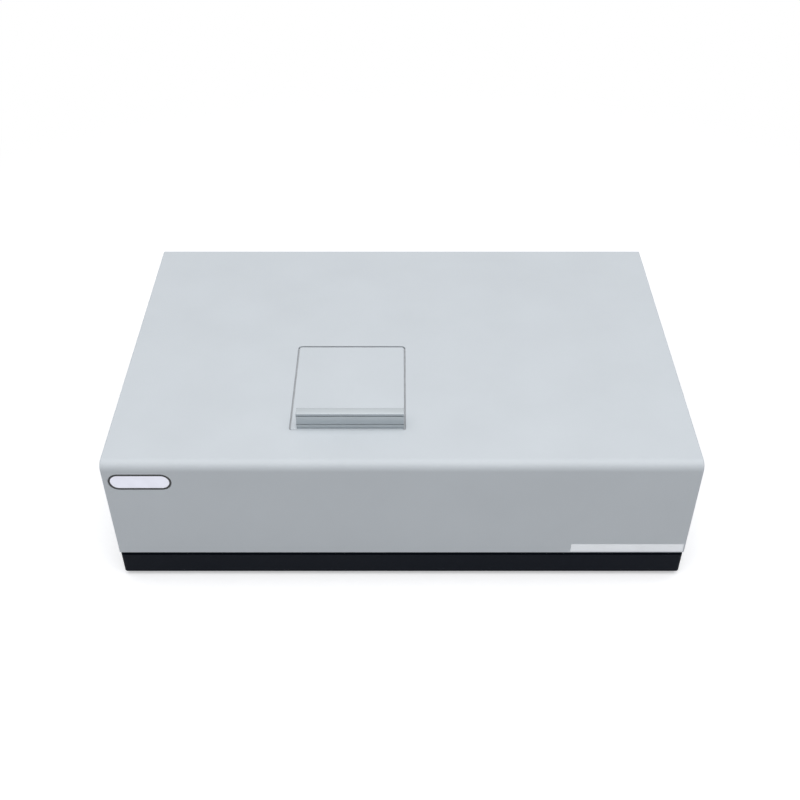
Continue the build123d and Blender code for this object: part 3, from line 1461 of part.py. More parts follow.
blade_count = 7
blade_tilt = 38.0
blade_chord = 11.5
blade_sheet = 1.4
blade_root = 0.6           # blade inside the hub
blade_gap = 2.1            # blade's middle to the fan's bore
blade_length = fan_bore - blade_gap - fan_hub + blade_root
rotor_y = (fan_inside + 3.0, panel_front - 1.5)
rotor_middle = sum(rotor_y) / 2
with BuildPart() as fan_rotor:
    bar((fan_x, rotor_middle, fan_z), fan_hub, rotor_y[1] - rotor_y[0], ALONG_Y)
    for blade in range(blade_count):
        with Locations(Location((fan_x, rotor_middle, fan_z), (0, blade * 360 / blade_count, 0))):
            with Locations(Location((fan_hub - blade_root + blade_length / 2, 0, 0), (blade_tilt, 0, 0))):
                Box(blade_length, blade_chord, blade_sheet)
    pin_middle = (fan_x, fan_inside + fan_depth / 2, fan_z)
    bar(pin_middle, fan_pin + running, fan_depth - 4.5, ALONG_Y, Mode.SUBTRACT)
save(fan_rotor, "fan_rotor")

# Finger guard: wire rings on four legs that end in eyes
guard_wire = 0.8
guard_y = panel_back + 2.5
guard_rings = 4
guard_pitch = 6.0
guard_outer = fan_bore - 3.5
guard_leg = (1.2, 1.6)
eye_radius = 3.2
eye_height = 2.2
eye_spots = [
    (x, z)
    for x in about(fan_x, fan_screw_spacing / 2)
    for z in about(fan_z, fan_screw_spacing / 2)
]
with BuildPart() as fan_guard:
    for ring in range(guard_rings):
        with Locations(Location((fan_x, guard_y, fan_z), ALONG_Y)):
            Torus(guard_outer - ring * guard_pitch, guard_wire)
    for turn in (45, 135):
        with Locations(Location((fan_x, panel_back + eye_height - guard_leg[0] / 2, fan_z), (0, turn, 0))):
            Box(fan_screw_spacing * 2**0.5, *guard_leg)
    for x, z in eye_spots:
        eye_middle = (x, panel_back + eye_height / 2, z)
        bar(eye_middle, eye_radius, eye_height, ALONG_Y)
        bar(eye_middle, fitting_screw_radius + running, 2 * eye_height, ALONG_Y, Mode.SUBTRACT)
save(fan_guard, "fan_guard")

fan_screw_length = 14.0
inlet_screw_length = 9.0
fan_screw = pan_screw(fitting_screw_radius, fan_screw_length, *fitting_head)
inlet_screw = flat_screw(fitting_screw_radius, inlet_screw_length, inlet_screw_head - 2 * running)
with BuildPart() as panel_screws:
    with Locations(*[Location((x, panel_back + eye_height, z), ALONG_Y) for x, z in eye_spots]):
        add(fan_screw)
    with Locations(*[Location((x, fitting_face - flush_drop, inlet_z), ALONG_Y) for x in inlet_screw_xs]):
        add(inlet_screw)
save(panel_screws, "panel_screws")
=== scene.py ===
"""Looks of a bench-top infrared oil analyzer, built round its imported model, in metres."""

import json
import math

import bmesh
import bpy
from bpy.props import FloatProperty, FloatVectorProperty, IntProperty, PointerProperty
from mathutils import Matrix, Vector


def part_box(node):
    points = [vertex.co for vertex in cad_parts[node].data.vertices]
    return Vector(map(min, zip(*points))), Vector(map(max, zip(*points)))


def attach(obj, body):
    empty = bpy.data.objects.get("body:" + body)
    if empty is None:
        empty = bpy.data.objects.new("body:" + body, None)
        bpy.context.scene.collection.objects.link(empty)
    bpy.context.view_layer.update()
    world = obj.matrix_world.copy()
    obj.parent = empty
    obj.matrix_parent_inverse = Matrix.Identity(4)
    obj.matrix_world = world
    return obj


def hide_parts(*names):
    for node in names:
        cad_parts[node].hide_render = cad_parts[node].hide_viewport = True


bl_info = {
    "name": "Infrared oil analyzer",
    "version": (1, 0, 0),
    "blender": (4, 5, 0),
    "location": "View3D > Sidebar > Analyzer",
    "description": "Detailed pieces, finishes and studio for a bench-top infrared oil analyzer",
    "category": "Object",
}

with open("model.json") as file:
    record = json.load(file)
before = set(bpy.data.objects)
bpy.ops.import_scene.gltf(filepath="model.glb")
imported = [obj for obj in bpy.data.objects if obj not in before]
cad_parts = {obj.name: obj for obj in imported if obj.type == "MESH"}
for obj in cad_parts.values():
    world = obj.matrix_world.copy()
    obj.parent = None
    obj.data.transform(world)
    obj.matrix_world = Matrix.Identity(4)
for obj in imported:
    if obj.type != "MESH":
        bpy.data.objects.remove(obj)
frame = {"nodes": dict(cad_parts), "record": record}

MM = 0.001
# Length of one band of a Wave texture at scale 1
WAVE_PERIOD = 2 * math.pi / 20
# How near a point is to a place to count as on it, and how squarely a face or edge points along an axis
NEAR = 0.1 * MM
SQUARE = 0.9
# Edges bent by more than this are rounded, and faces bent by less than this are one flat face
SHARP = math.radians(50)
FLAT = math.radians(1)
# Points nearer to each other than this become one after a bevel, and where a wound thread closes
SLIVER = 0.01 * MM
WELD = 0.001 * MM


def linear(hex_colour):
    """An sRGB hex colour as linear red, green, blue and alpha."""
    parts = [int(hex_colour[i : i + 2], 16) / 255 for i in (0, 2, 4)]
    return [p / 12.92 if p <= 0.04045 else ((p + 0.055) / 1.055) ** 2.4 for p in parts] + [1.0]


def length(name, description, millimetres):
    """A length that a user can set, with its default in millimetres."""
    return FloatProperty(
        name=name, description=description, default=millimetres * MM, min=0.0, unit="LENGTH", precision=5
    )


def angle(name, description, degrees):
    """An angle that a user can set, with its default in degrees."""
    return FloatProperty(name=name, description=description, default=math.radians(degrees), subtype="ANGLE")


def portion(name, description, part):
    """A share of another size that a user can set, from 0 to 1."""
    return FloatProperty(
        name=name, description=description, default=part, min=0.0, max=1.0, subtype="FACTOR"
    )


def colour(name, description, hex_colour):
    """A colour that a user can set, with its default as sRGB hex."""
    return FloatVectorProperty(
        name=name,
        description=description,
        default=linear(hex_colour),
        size=4,
        min=0.0,
        max=1.0,
        subtype="COLOR",
    )


# Sizes and colours that a user would change


class AnalyzerColours(bpy.types.PropertyGroup):
    cover: colour("Cover", "Powder coat of the cover and the lid", "DCE2E6")
    base: colour("Base", "Powder coat of the tray", "0D121B")
    panel: colour("Rear panel", "Powder coat of the rear panel", "C9CED1")
    bar: colour("Pull bar", "Anodised finish of the pull bar", "B8BEC2")
    badge: colour("Badge field", "Domed field of the blank badge", "DCDDE8")
    # The rim is real, but its near-black colour is painted shade: it stands in for the gap's shadow and a
    # dark reflection on the rim
    badge_rim_painted_shade: colour("Badge rim", "Rim of the blank badge", "101317")
    label: colour("Label", "Bare film strip on the front", "E2E5E8")


class PullBarSizes(bpy.types.PropertyGroup):
    lip_depth: length("Lip depth", "Lip from front to back", 8.0)
    lip_front: length("Lip in front", "Lip past the web at the front", 0.3)
    lip_back: length("Lip behind", "Lip past the web at the back", 1.6)
    lip_thickness: length("Lip thickness", "Height of the lip", 2.2)
    lip_round: length("Lip rounding", "Radius of the lip's top edges", 0.35)
    lip_groove: length("Lip groove", "Height and depth of the groove right under the lip", 1.2)
    groove_height: length("Groove height", "Lid to the middle of the groove", 4.6)
    groove: length("Groove", "Width and depth of the groove", 1.1)
    foot_height: length("Foot height", "Thickness of the foot on the lid", 2.6)
    sharp_edge: length("Broken edge", "Radius of the other edges", 0.15)


class GasketSizes(bpy.types.PropertyGroup):
    corner: length("Corner", "Outer corner radius of the gasket", 5.0)
    rear_width: length("Rear width", "Rubber from its outer to its inner edge at the rear", 5.5)
    side_width: length("Side width", "The same at both sides", 8.5)
    front_width: length("Front width", "The same at the front", 7.3)
    legs: length("Legs", "Legs along both sides, from the ring to the rear", 19.4)
    bulb: length("Bulb", "Radius of the rounded edges", 1.2)


class BadgeSizes(bpy.types.PropertyGroup):
    rim: length("Rim", "Width of the rim", 1.5)
    step: length("Step", "Depth of the gap inside the rim", 0.3)
    gap: length("Gap", "Width of the gap inside the rim", 0.1)
    dome: length("Dome", "Width of the dome's sloping edge", 2.4)
    rise: portion("Rise", "Field over the gap's floor, as a share of the step", 0.9)


class ImpellerSizes(bpy.types.PropertyGroup):
    blades: IntProperty(name="Blades", description="Number of blades", default=7, min=3, max=15)
    hub: length("Hub", "Radius of the hub", 12.5)
    hub_round: length("Hub rounding", "Radius of the hub's edges", 0.8)
    cap_rim: length("Cap rim", "Rim round the hub's sunk cap", 2.0)
    cap_depth: length("Cap depth", "Depth of the sunk cap", 0.5)
    cap_ledge: length("Cap ledge", "Ledge at the foot of the rim", 0.4)
    root: length("Root", "Blade inside the hub", 0.6)
    chord: length("Chord", "Width of a blade", 12.5)
    camber: length("Camber", "Height of a blade's curve over its chord", 1.3)
    sheet: length("Blade", "Thickness of a blade", 1.1)
    blade_edge: length("Blade edge", "Radius of a blade's edges", 0.3)
    root_pitch: angle("Pitch at the hub", "Turn of a blade at its root", 50)
    tip_pitch: angle("Pitch at the tip", "Turn of a blade at its tip", 34)


class ScrewSizes(bpy.types.PropertyGroup):
    pitch: length("Pitch", "Travel in one turn", 2.0)
    depth: length("Thread depth", "Height of the thread over its core", 0.5)
    foot: portion("Thread foot", "Width of the thread's foot, as a share of the pitch", 0.66)
    crest: portion("Thread crest", "Width of the thread's crest, as a share of its foot", 0.4)
    plain_left: length("Left journal", "Plain end on the left", 8.0)
    plain_right: length("Right journal", "Plain end on the right", 28.0)
    end_recess: length("End recess", "Depth of the recess in each end", 0.4)
    end_edge: length("End edge", "Radius of the edges at each end", 0.3)


class PinSizes(bpy.types.PropertyGroup):
    width: length("Width", "Width of a pin", 2.3)
    height: length("Height", "Height of a pin", 4.3)
    root: length("Root", "The inlet's face to the pins' roots", 17.0)
    end: length("End", "The inlet's face to the pins' ends", 6.2)
    middle: length("Middle", "Middle of the pins over the middle of the inlet", 5.5)
    spread: length("Spread", "Middle of the pins to each outer pin", 7.0)
    outer_drop: length("Outer drop", "Outer pins under the middle", 2.0)
    inner_rise: length("Inner rise", "Inner pin over the middle", 2.5)
    tip: length("Tip", "Bevel round a pin's end", 0.28)
    edge: length("Broken edge", "Radius of the other edges", 0.12)


class ContactSizes(bpy.types.PropertyGroup):
    root: length("Root", "The socket's face to the tongue's root", 13.0)
    tongue_length: length("Tongue length", "Tongue from root to end", 8.2)
    tongue_width: length("Tongue width", "Width of the tongue", 5.8)
    tongue_height: length("Tongue height", "Height of the tongue", 3.4)
    tongue_tip: length("Tongue tip", "Bevel round the tongue's end", 0.18)
    tongue_edge: length("Tongue edge", "Radius of the tongue's other edges", 0.08)
    contact_length: length("Contact length", "Contact from end to end", 7.0)
    contact_width: length("Contact width", "Width of a contact", 1.0)
    contact_sheet: length("Contact thickness", "Thickness of a contact", 0.3)
    contact_edge: length("Contact edge", "Radius of a contact's edges", 0.1)
    contact_middle: length("Contact middle", "The tongue's root to the middle of a contact", 3.6)
    spread: length("Spread", "Middle of the tongue to the middle of a contact, sideways", 1.3)
    level: length("Level", "Middle of the tongue to the middle of a contact, upwards", 1.75)


class StudioSettings(bpy.types.PropertyGroup):
    key: FloatProperty(
        name="Key light", description="Power of the light overhead", default=39.5, unit="POWER"
    )
    fill: FloatProperty(
        name="Fill", description="Level of the light from all round", default=0.3, subtype="FACTOR"
    )
    lens: FloatProperty(name="Lens", description="Focal length of the camera", default=48.78, unit="CAMERA")


# Small helpers for shaders and meshes


def per_mm(size):
    """A pattern's scale from the real size, in millimetres, of one grain or wave."""
    return 1.0 / (size * MM)


def start_material(name, **inputs):
    """A new material with one Principled shader, then its tree, the shader and the place on the piece."""
    made = bpy.data.materials.new(name)
    made.use_nodes = True
    tree = made.node_tree
    tree.nodes.clear()
    shader = add_node(tree, "ShaderNodeBsdfPrincipled", inputs)
    add_node(tree, "ShaderNodeOutputMaterial", {"Surface": shader.outputs["BSDF"]})
    place = add_node(tree, "ShaderNodeTexCoord").outputs["Object"]
    return made, tree, shader, place


def feed(tree, shader, tones=None, gloss=None, relief=None):
    """Feeds a shader's colour, roughness and bump from patterns.

    tones is a pattern and two stops of place and colour, gloss a pattern with its lowest and highest
    roughness, and relief a pattern with its strength and its depth in millimetres.
    """
    if tones:
        pattern, *stops = tones
        ramp = add_node(tree, "ShaderNodeValToRGB", {"Fac": pattern}, ramp=stops)
        tree.links.new(ramp.outputs["Color"], shader.inputs["Base Color"])
    if gloss:
        pattern, low, high = gloss
        span = add_node(tree, "ShaderNodeMapRange", {"Value": pattern, "To Min": low, "To Max": high})
        tree.links.new(span.outputs["Result"], shader.inputs["Roughness"])
    if relief:
        pattern, strength, depth = relief
        bump = add_node(
            tree, "ShaderNodeBump", {"Height": pattern, "Strength": strength, "Distance": depth * MM}
        )
        tree.links.new(bump.outputs["Normal"], shader.inputs["Normal"])


def add_node(tree, kind, inputs=None, ramp=None, **settings):
    """Adds a node with its settings; each input gets a value or the output that feeds it."""
    made = tree.nodes.new(kind)
    for name, value in settings.items():
        setattr(made, name, value)
    for name, value in (inputs or {}).items():
        if isinstance(value, bpy.types.NodeSocket):
            tree.links.new(value, made.inputs[name])
        else:
            made.inputs[name].default_value = value
    for stop, (place, tone) in zip(made.color_ramp.elements if ramp else [], ramp or []):
        stop.position = place
        stop.color = tone
    return made


def shade(tone, share):
    """A colour made darker or lighter by a share."""
    return [min(1.0, part * share) for part in tone[:3]] + [1.0]


def begin(name, add, scale=(1, 1, 1), **place):
    """Adds a primitive alone in the selection and puts its place and size into its mesh."""
    bpy.ops.object.select_all(action="DESELECT")
    add(**place)
    piece = bpy.context.active_object
    piece.scale = scale
    piece.name = name
    piece.data.name = name
    bpy.ops.object.transform_apply(location=True, rotation=True, scale=True)
    return piece


def choose(kind, test):
    """Selects, in edit mode, the vertices, edges or faces that pass a test of middle and direction."""
    bpy.ops.mesh.select_mode(type=kind)
    bpy.ops.mesh.select_all(action="DESELECT")
    mesh = bmesh.from_edit_mesh(bpy.context.edit_object.data)
    if kind == "VERT":
        facts = [(vertex, (vertex.co,)) for vertex in mesh.verts]
    elif kind == "EDGE":
        ends = [(edge, [vertex.co for vertex in edge.verts]) for edge in mesh.edges]
        facts = [(edge, ((low + high) / 2, (high - low).normalized())) for edge, (low, high) in ends]
    else:
        facts = [(face, (face.calc_center_median(), face.normal)) for face in mesh.faces]
    for part, values in facts:
        part.select_set(bool(test(*values)))
    if not any(part.select for part, values in facts):
        raise RuntimeError(f"{bpy.context.edit_object.name}: nothing to select among {kind}")
    mesh.select_flush_mode()
    bmesh.update_edit_mesh(bpy.context.edit_object.data)


def cut(point, normal):
    """Cuts new edges all round the piece in edit mode, where a plane meets it."""
    bpy.ops.mesh.select_all(action="SELECT")
    bpy.ops.mesh.bisect(plane_co=point, plane_no=normal)


def push(shift):
    """Extrudes the selected faces by a shift."""
    bpy.ops.mesh.extrude_region_move(TRANSFORM_OT_translate={"value": shift})


def break_edges(piece, width, segments):
    """Rounds every sharp edge with an applied Bevel, and closes up the slivers it leaves."""
    bevel = piece.modifiers.new("edges", "BEVEL")
    bevel.width = width
    bevel.segments = segments
    bevel.limit_method = "ANGLE"
    bevel.angle_limit = SHARP
    bevel.use_clamp_overlap = True
    bpy.ops.object.modifier_apply(modifier=bevel.name)
    bpy.ops.object.mode_set(mode="EDIT")
    bpy.ops.mesh.select_all(action="SELECT")
    bpy.ops.mesh.remove_doubles(threshold=SLIVER)
    bpy.ops.object.mode_set(mode="OBJECT")


def join(whole, others):
    """Joins other pieces into one."""
    bpy.ops.object.select_all(action="DESELECT")
    for part in [whole, *others]:
        part.select_set(True)
    bpy.context.view_layer.objects.active = whole
    bpy.ops.object.join()


def complete(piece, body, finishes, replaces=(), smooth_under=35):
    """Gives a piece its finishes, smooth shading under an angle in degrees, its body and its nodes."""
    for name in finishes:
        piece.data.materials.append(finish(name))
    bpy.ops.object.shade_smooth_by_angle(angle=math.radians(smooth_under))
    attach(piece, body)
    if replaces:
        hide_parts(*replaces)


# Finishes


def powder_coat(name, tone, grain, roughness, specular=0.5):
    """Steel sheet, powder coated and baked: even colour, and a fine orange peel that softens highlights."""
    made, tree, shader, place = start_material(name, IOR=1.5, **{"Specular IOR Level": specular})
    cloud = add_node(tree, "ShaderNodeTexNoise", {"Vector": place, "Scale": per_mm(70), "Detail": 3.0})
    # Real peel is about 0.8 mm across, and this one is drawn coarser so that it shows
    peel = add_node(tree, "ShaderNodeTexNoise", {"Vector": place, "Scale": per_mm(grain), "Detail": 2.0})
    feed(
        tree,
        shader,
        tones=(cloud.outputs["Fac"], (0.3, shade(tone, 0.975)), (0.7, shade(tone, 1.015))),
        gloss=(cloud.outputs["Fac"], roughness - 0.05, roughness + 0.05),
        relief=(peel.outputs["Fac"], 0.6, 0.1),
    )
    return made


def brushed_metal(name, tone, roughness, along):
    """Metal with fine lines along one direction, as an extrusion or a brushed face has."""
    made, tree, shader, place = start_material(name, Metallic=1.0)
    # Extrusion lines are about 0.1 mm apart, and these are drawn at 0.5 mm so that they show
    stretched = add_node(tree, "ShaderNodeMapping", {"Vector": place, "Scale": along}).outputs["Vector"]
    lines = add_node(tree, "ShaderNodeTexNoise", {"Vector": stretched, "Scale": per_mm(0.5)})
    cloud = add_node(tree, "ShaderNodeTexNoise", {"Vector": place, "Scale": per_mm(25), "Detail": 2.0})
    feed(
        tree,
        shader,
        tones=(lines.outputs["Fac"], (0.25, shade(tone, 0.93)), (0.75, shade(tone, 1.05))),
        gloss=(cloud.outputs["Fac"], roughness - 0.07, roughness + 0.07),
        relief=(lines.outputs["Fac"], 0.25, 0.02),
    )
    return made


def plated_metal(name, tone, blush, roughness):
    """Steel with an electroplated coat: bright, with faint clouds of a second tint and small spots."""
    made, tree, shader, place = start_material(name, Metallic=1.0)
    cloud = add_node(tree, "ShaderNodeTexNoise", {"Vector": place, "Scale": per_mm(6), "Detail": 3.0})
    spots = add_node(tree, "ShaderNodeTexNoise", {"Vector": place, "Scale": per_mm(0.9), "Detail": 1.0})
    feed(
        tree,
        shader,
        tones=(cloud.outputs["Fac"], (0.35, tone), (0.75, blush)),
        gloss=(spots.outputs["Fac"], roughness - 0.06, roughness + 0.08),
    )
    return made


def black_anodised():
    """Bead-blasted and black anodised aluminium: deep matt black with a dry, fine grain."""
    made, tree, shader, place = start_material("black_anodised_aluminium", Metallic=0.35)
    grain = add_node(tree, "ShaderNodeTexNoise", {"Vector": place, "Scale": per_mm(0.6), "Detail": 2.0})
    cloud = add_node(tree, "ShaderNodeTexNoise", {"Vector": place, "Scale": per_mm(18), "Detail": 3.0})
    feed(
        tree,
        shader,
        tones=(cloud.outputs["Fac"], (0.3, linear("232428")), (0.75, linear("313237"))),
        gloss=(grain.outputs["Fac"], 0.48, 0.66),
        relief=(grain.outputs["Fac"], 0.3, 0.03),
    )
    return made


def moulded_rubber(name, tone, bloom_tone):
    """Compression-moulded rubber: dull, with a paler bloom in its hollows."""
    made, tree, shader, place = start_material(name, IOR=1.5)
    bloom = add_node(tree, "ShaderNodeTexNoise", {"Vector": place, "Scale": per_mm(7), "Detail": 4.0})
    grain = add_node(tree, "ShaderNodeTexNoise", {"Vector": place, "Scale": per_mm(0.5), "Detail": 1.0})
    feed(
        tree,
        shader,
        tones=(bloom.outputs["Fac"], (0.4, tone), (0.8, bloom_tone)),
        gloss=(bloom.outputs["Fac"], 0.7, 0.9),
        relief=(grain.outputs["Fac"], 0.3, 0.04),
    )
    return made


def moulded_plastic(name, tone, roughness, relief):
    """Injection-moulded plastic: even colour over a fine spark-eroded texture, with faint flow marks."""
    made, tree, shader, place = start_material(name, IOR=1.53)
    spark = add_node(tree, "ShaderNodeTexVoronoi", {"Vector": place, "Scale": per_mm(0.45)})
    flow = add_node(
        tree, "ShaderNodeTexNoise", {"Vector": place, "Scale": per_mm(14), "Detail": 2.0, "Distortion": 1.5}
    )
    feed(
        tree,
        shader,
        tones=(flow.outputs["Fac"], (0.3, shade(tone, 0.85)), (0.75, shade(tone, 1.2))),
        gloss=(flow.outputs["Fac"], roughness - 0.06, roughness + 0.06),
        relief=(spark.outputs["Distance"], relief, 0.03),
    )
    return made


def domed_foil(tone):
    """Silver foil under a clear polyurethane dome: bright and glossy, with a soft shift along it."""
    made, tree, shader, place = start_material(
        "domed_silver_foil", Metallic=0.8, **{"Coat Weight": 1.0, "Coat Roughness": 0.05}
    )
    pearl = add_node(tree, "ShaderNodeTexNoise", {"Vector": place, "Scale": per_mm(9), "Detail": 1.0})
    feed(
        tree,
        shader,
        tones=(pearl.outputs["Fac"], (0.3, shade(tone, 0.97)), (0.7, shade(tone, 1.02))),
        gloss=(pearl.outputs["Fac"], 0.3, 0.38),
    )
    return made


def label_film(tone):
    """Silvered polyester film under a matt laminate: bright, with a very fine pebble."""
    made, tree, shader, place = start_material("silvered_polyester_film", Metallic=0.6)
    pebble = add_node(tree, "ShaderNodeTexNoise", {"Vector": place, "Scale": per_mm(0.7), "Detail": 2.0})
    sheen = add_node(tree, "ShaderNodeTexNoise", {"Vector": place, "Scale": per_mm(22)})
    feed(
        tree,
        shader,
        tones=(sheen.outputs["Fac"], (0.3, shade(tone, 0.97)), (0.7, shade(tone, 1.02))),
        gloss=(sheen.outputs["Fac"], 0.38, 0.5),
        relief=(pebble.outputs["Fac"], 0.15, 0.02),
    )
    return made


def fused_quartz():
    """Polished fused quartz: clear, with a trace of polishing haze."""
    made, tree, shader, place = start_material(
        "polished_fused_quartz",
        IOR=1.46,
        **{"Base Color": linear("F4F8FA"), "Transmission Weight": 1.0},
    )
    haze = add_node(tree, "ShaderNodeTexNoise", {"Vector": place, "Scale": per_mm(5), "Detail": 3.0})
    feed(tree, shader, gloss=(haze.outputs["Fac"], 0.0, 0.06))
    return made


def mirror_coat():
    """Front-surface aluminium coat on polished glass: a clean mirror with faint haze."""
    made, tree, shader, place = start_material("evaporated_aluminium_mirror", Metallic=1.0)
    haze = add_node(tree, "ShaderNodeTexNoise", {"Vector": place, "Scale": per_mm(10), "Detail": 4.0})
    feed(
        tree,
        shader,
        tones=(haze.outputs["Fac"], (0.4, linear("F1F2F3")), (0.8, linear("E4E7EA"))),
        gloss=(haze.outputs["Fac"], 0.01, 0.07),
    )
    return made


def ruled_grating():
    """Ruled aluminium film on glass: upright rulings, and the bands of colour they spread the light into,
    painted into the colour.
    """
    made, tree, shader, place = start_material("ruled_aluminium_grating", Metallic=1.0, Roughness=0.18)
    # Real rulings are a few micrometres apart, and these lines are drawn at 0.8 mm so that they show
    rulings = add_node(
        tree,
        "ShaderNodeTexWave",
        {"Vector": place, "Scale": WAVE_PERIOD * per_mm(0.8), "Distortion": 0.0},
        bands_direction="Y",
    )
    # The lavender and green bands are painted diffraction, a painted reflection of the light off the
    # rulings
    painted_diffraction_bands = add_node(tree, "ShaderNodeTexNoise", {"Vector": place, "Scale": per_mm(12)})
    feed(
        tree,
        shader,
        tones=(painted_diffraction_bands.outputs["Fac"], (0.35, linear("B9A7D6")), (0.65, linear("A9D3C2"))),
        relief=(rulings.outputs["Fac"], 0.2, 0.02),
    )
    return made


def pressed_ceramic():
    """Pressed steatite, unglazed: off-white, dull, with fine pores and grey handling marks."""
    made, tree, shader, place = start_material("pressed_steatite", IOR=1.6)
    marks = add_node(tree, "ShaderNodeTexNoise", {"Vector": place, "Scale": per_mm(8), "Detail": 5.0})
    pores = add_node(tree, "ShaderNodeTexNoise", {"Vector": place, "Scale": per_mm(0.4), "Detail": 1.0})
    feed(
        tree,
        shader,
        tones=(marks.outputs["Fac"], (0.3, linear("CFC8B8")), (0.6, linear("E8E2D5"))),
        gloss=(marks.outputs["Fac"], 0.65, 0.85),
        relief=(pores.outputs["Fac"], 0.3, 0.04),
    )
    return made


def circuit_board():
    """Glass-epoxy board under green solder mask: a grid of raised copper tracks, glossy."""
    made, tree, shader, place = start_material("glass_epoxy_solder_mask", IOR=1.54, Roughness=0.32)
    tracks = add_node(
        tree,
        "ShaderNodeTexBrick",
        {
            "Vector": place,
            "Color1": linear("1E6B45"),
            "Color2": linear("17593A"),
            "Mortar": linear("0F3F28"),
            "Scale": per_mm(10),
            "Mortar Size": 0.035,
            "Brick Width": 1.1,
            "Row Height": 0.25,
        },
    )
    tree.links.new(tracks.outputs["Color"], shader.inputs["Base Color"])
    feed(tree, shader, relief=(tracks.outputs["Fac"], 0.4, 0.05))
    return made


def finish(name):
    """A finish by its name, made the first time it is asked for."""
    found = bpy.data.materials.get(name)
    if found:
        return found
    paint = bpy.context.scene.analyzer_colours
    recipes = {
        "cover_powder_coat": lambda: powder_coat(name, paint.cover, 2.2, 0.42),
        "base_powder_coat": lambda: powder_coat(name, paint.base, 1.6, 0.6, 0.08),
        "panel_powder_coat": lambda: powder_coat(name, paint.panel, 2.0, 0.5),
        "satin_anodised_extrusion": lambda: brushed_metal(name, paint.bar, 0.55, (0.02, 1.0, 1.0)),
        "milled_aluminium": lambda: brushed_metal(name, linear("BFC2C4"), 0.32, (1.0, 0.05, 1.0)),
        "turned_brass": lambda: brushed_metal(name, linear("C9A35B"), 0.28, (1.0, 1.0, 0.05)),
        "zinc_plated_steel": lambda: plated_metal(name, linear("B9BDC2"), linear("A8AEB8"), 0.34),
        "nickel_plated_steel": lambda: plated_metal(name, linear("C8C6C0"), linear("B7B4AC"), 0.2),
        "gold_plated_contact": lambda: plated_metal(name, linear("D8B25A"), linear("C79C45"), 0.22),
        "black_anodised_aluminium": black_anodised,
        "moulded_nitrile_rubber": lambda: moulded_rubber(name, linear("141415"), linear("2A2A2B")),
        "moulded_silicone_rubber": lambda: moulded_rubber(name, linear("B9BBBD"), linear("C4C6C8")),
        "black_moulded_nylon": lambda: moulded_plastic(name, linear("1B1C1E"), 0.5, 0.3),
        "polished_polycarbonate": lambda: moulded_plastic(name, linear("121315"), 0.18, 0.05),
        # The badge rim's near-black colour is painted shade
        "dark_rim_painted_shade": lambda: moulded_plastic(name, paint.badge_rim_painted_shade, 0.35, 0.1),
        "moulded_epoxy": lambda: moulded_plastic(name, linear("1F2023"), 0.6, 0.4),
        "domed_silver_foil": lambda: domed_foil(paint.badge),
        "silvered_polyester_film": lambda: label_film(paint.label),
        "polished_fused_quartz": fused_quartz,
        "evaporated_aluminium_mirror": mirror_coat,
        "ruled_aluminium_grating": ruled_grating,
        "pressed_steatite": pressed_ceramic,
        "glass_epoxy_solder_mask": circuit_board,
    }
    return recipes[name]()


SLOT_FINISHES = {
    "cover_paint": "cover_powder_coat",
    "base_paint": "base_powder_coat",
    "panel_paint": "panel_powder_coat",
    "bar_anodised": "satin_anodised_extrusion",
    "black_anodised": "black_anodised_aluminium",
    "bare_aluminium": "milled_aluminium",
    "zinc_steel": "zinc_plated_steel",
    "rubber_black": "moulded_nitrile_rubber",
    "rubber_grey": "moulded_silicone_rubber",
    "badge_face": "domed_silver_foil",
    "label_face": "silvered_polyester_film",
    "black_plastic": "black_moulded_nylon",
    "dark_plastic": "polished_polycarbonate",
    "quartz": "polished_fused_quartz",
    "mirror_coat": "evaporated_aluminium_mirror",
    "ceramic": "pressed_steatite",
    "grating_glass": "ruled_aluminium_grating",
    "brass": "turned_brass",
    "circuit_board": "glass_epoxy_solder_mask",
    "component_black": "moulded_epoxy",
}
NODE_FINISHES = {"usb_port": "nickel_plated_steel", "fan_guard": "nickel_plated_steel"}


# Pieces


def pull_bar(sizes):
    """The lid's pull bar, an extrusion: lip over a set-back web, a fine groove and a foot."""
    low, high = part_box("lid_handle")
    web_front = low.y + sizes.lip_front
    web_back = low.y + sizes.lip_depth - sizes.lip_back
    lip_under = high.z - sizes.lip_thickness
    lip_groove_low = lip_under - sizes.lip_groove
    groove_low = low.z + sizes.groove_height - sizes.groove / 2
    groove_high = groove_low + sizes.groove
    foot_top = low.z + sizes.foot_height
    piece = begin(
        "pull_bar",
        bpy.ops.mesh.primitive_cube_add,
        size=1.0,
        location=((low.x + high.x) / 2, (web_front + web_back) / 2, (low.z + high.z) / 2),
        scale=(high.x - low.x, web_back - web_front, high.z - low.z),
    )
    bpy.ops.object.mode_set(mode="EDIT")
    for level in (lip_under, lip_groove_low, groove_low, groove_high, foot_top):
        cut((0, 0, level), (0, 0, 1))
    choose("FACE", lambda middle, normal: normal.y < -SQUARE and lip_groove_low < middle.z < lip_under)
    push((0, sizes.lip_groove, 0))
    choose("FACE", lambda middle, normal: normal.y < -SQUARE and middle.z > lip_under)
    push((0, -sizes.lip_front, 0))
    choose("FACE", lambda middle, normal: normal.y > SQUARE and middle.z > lip_under)
    push((0, sizes.lip_back, 0))
    choose("FACE", lambda middle, normal: normal.y < -SQUARE and groove_low < middle.z < groove_high)
    push((0, sizes.groove, 0))
    choose("FACE", lambda middle, normal: normal.y > SQUARE and middle.z < foot_top)
    push((0, high.y - web_back, 0))
    # The cuts' spare lines across flat faces would catch the bevels
    bpy.ops.mesh.select_all(action="SELECT")
    bpy.ops.mesh.dissolve_limited(angle_limit=FLAT)
    lip_edges = (low.y, low.y + sizes.lip_depth)
    choose(
        "EDGE",
        lambda middle, along: abs(along.x) > SQUARE
        and middle.z > high.z - NEAR
        and min(abs(middle.y - y) for y in lip_edges) < NEAR,
    )
    bpy.ops.mesh.bevel(offset=sizes.lip_round, segments=4, affect="EDGES")
    bpy.ops.object.mode_set(mode="OBJECT")
    break_edges(piece, sizes.sharp_edge, 2)
    complete(piece, "lid", ["satin_anodised_extrusion"], ["lid_handle"])


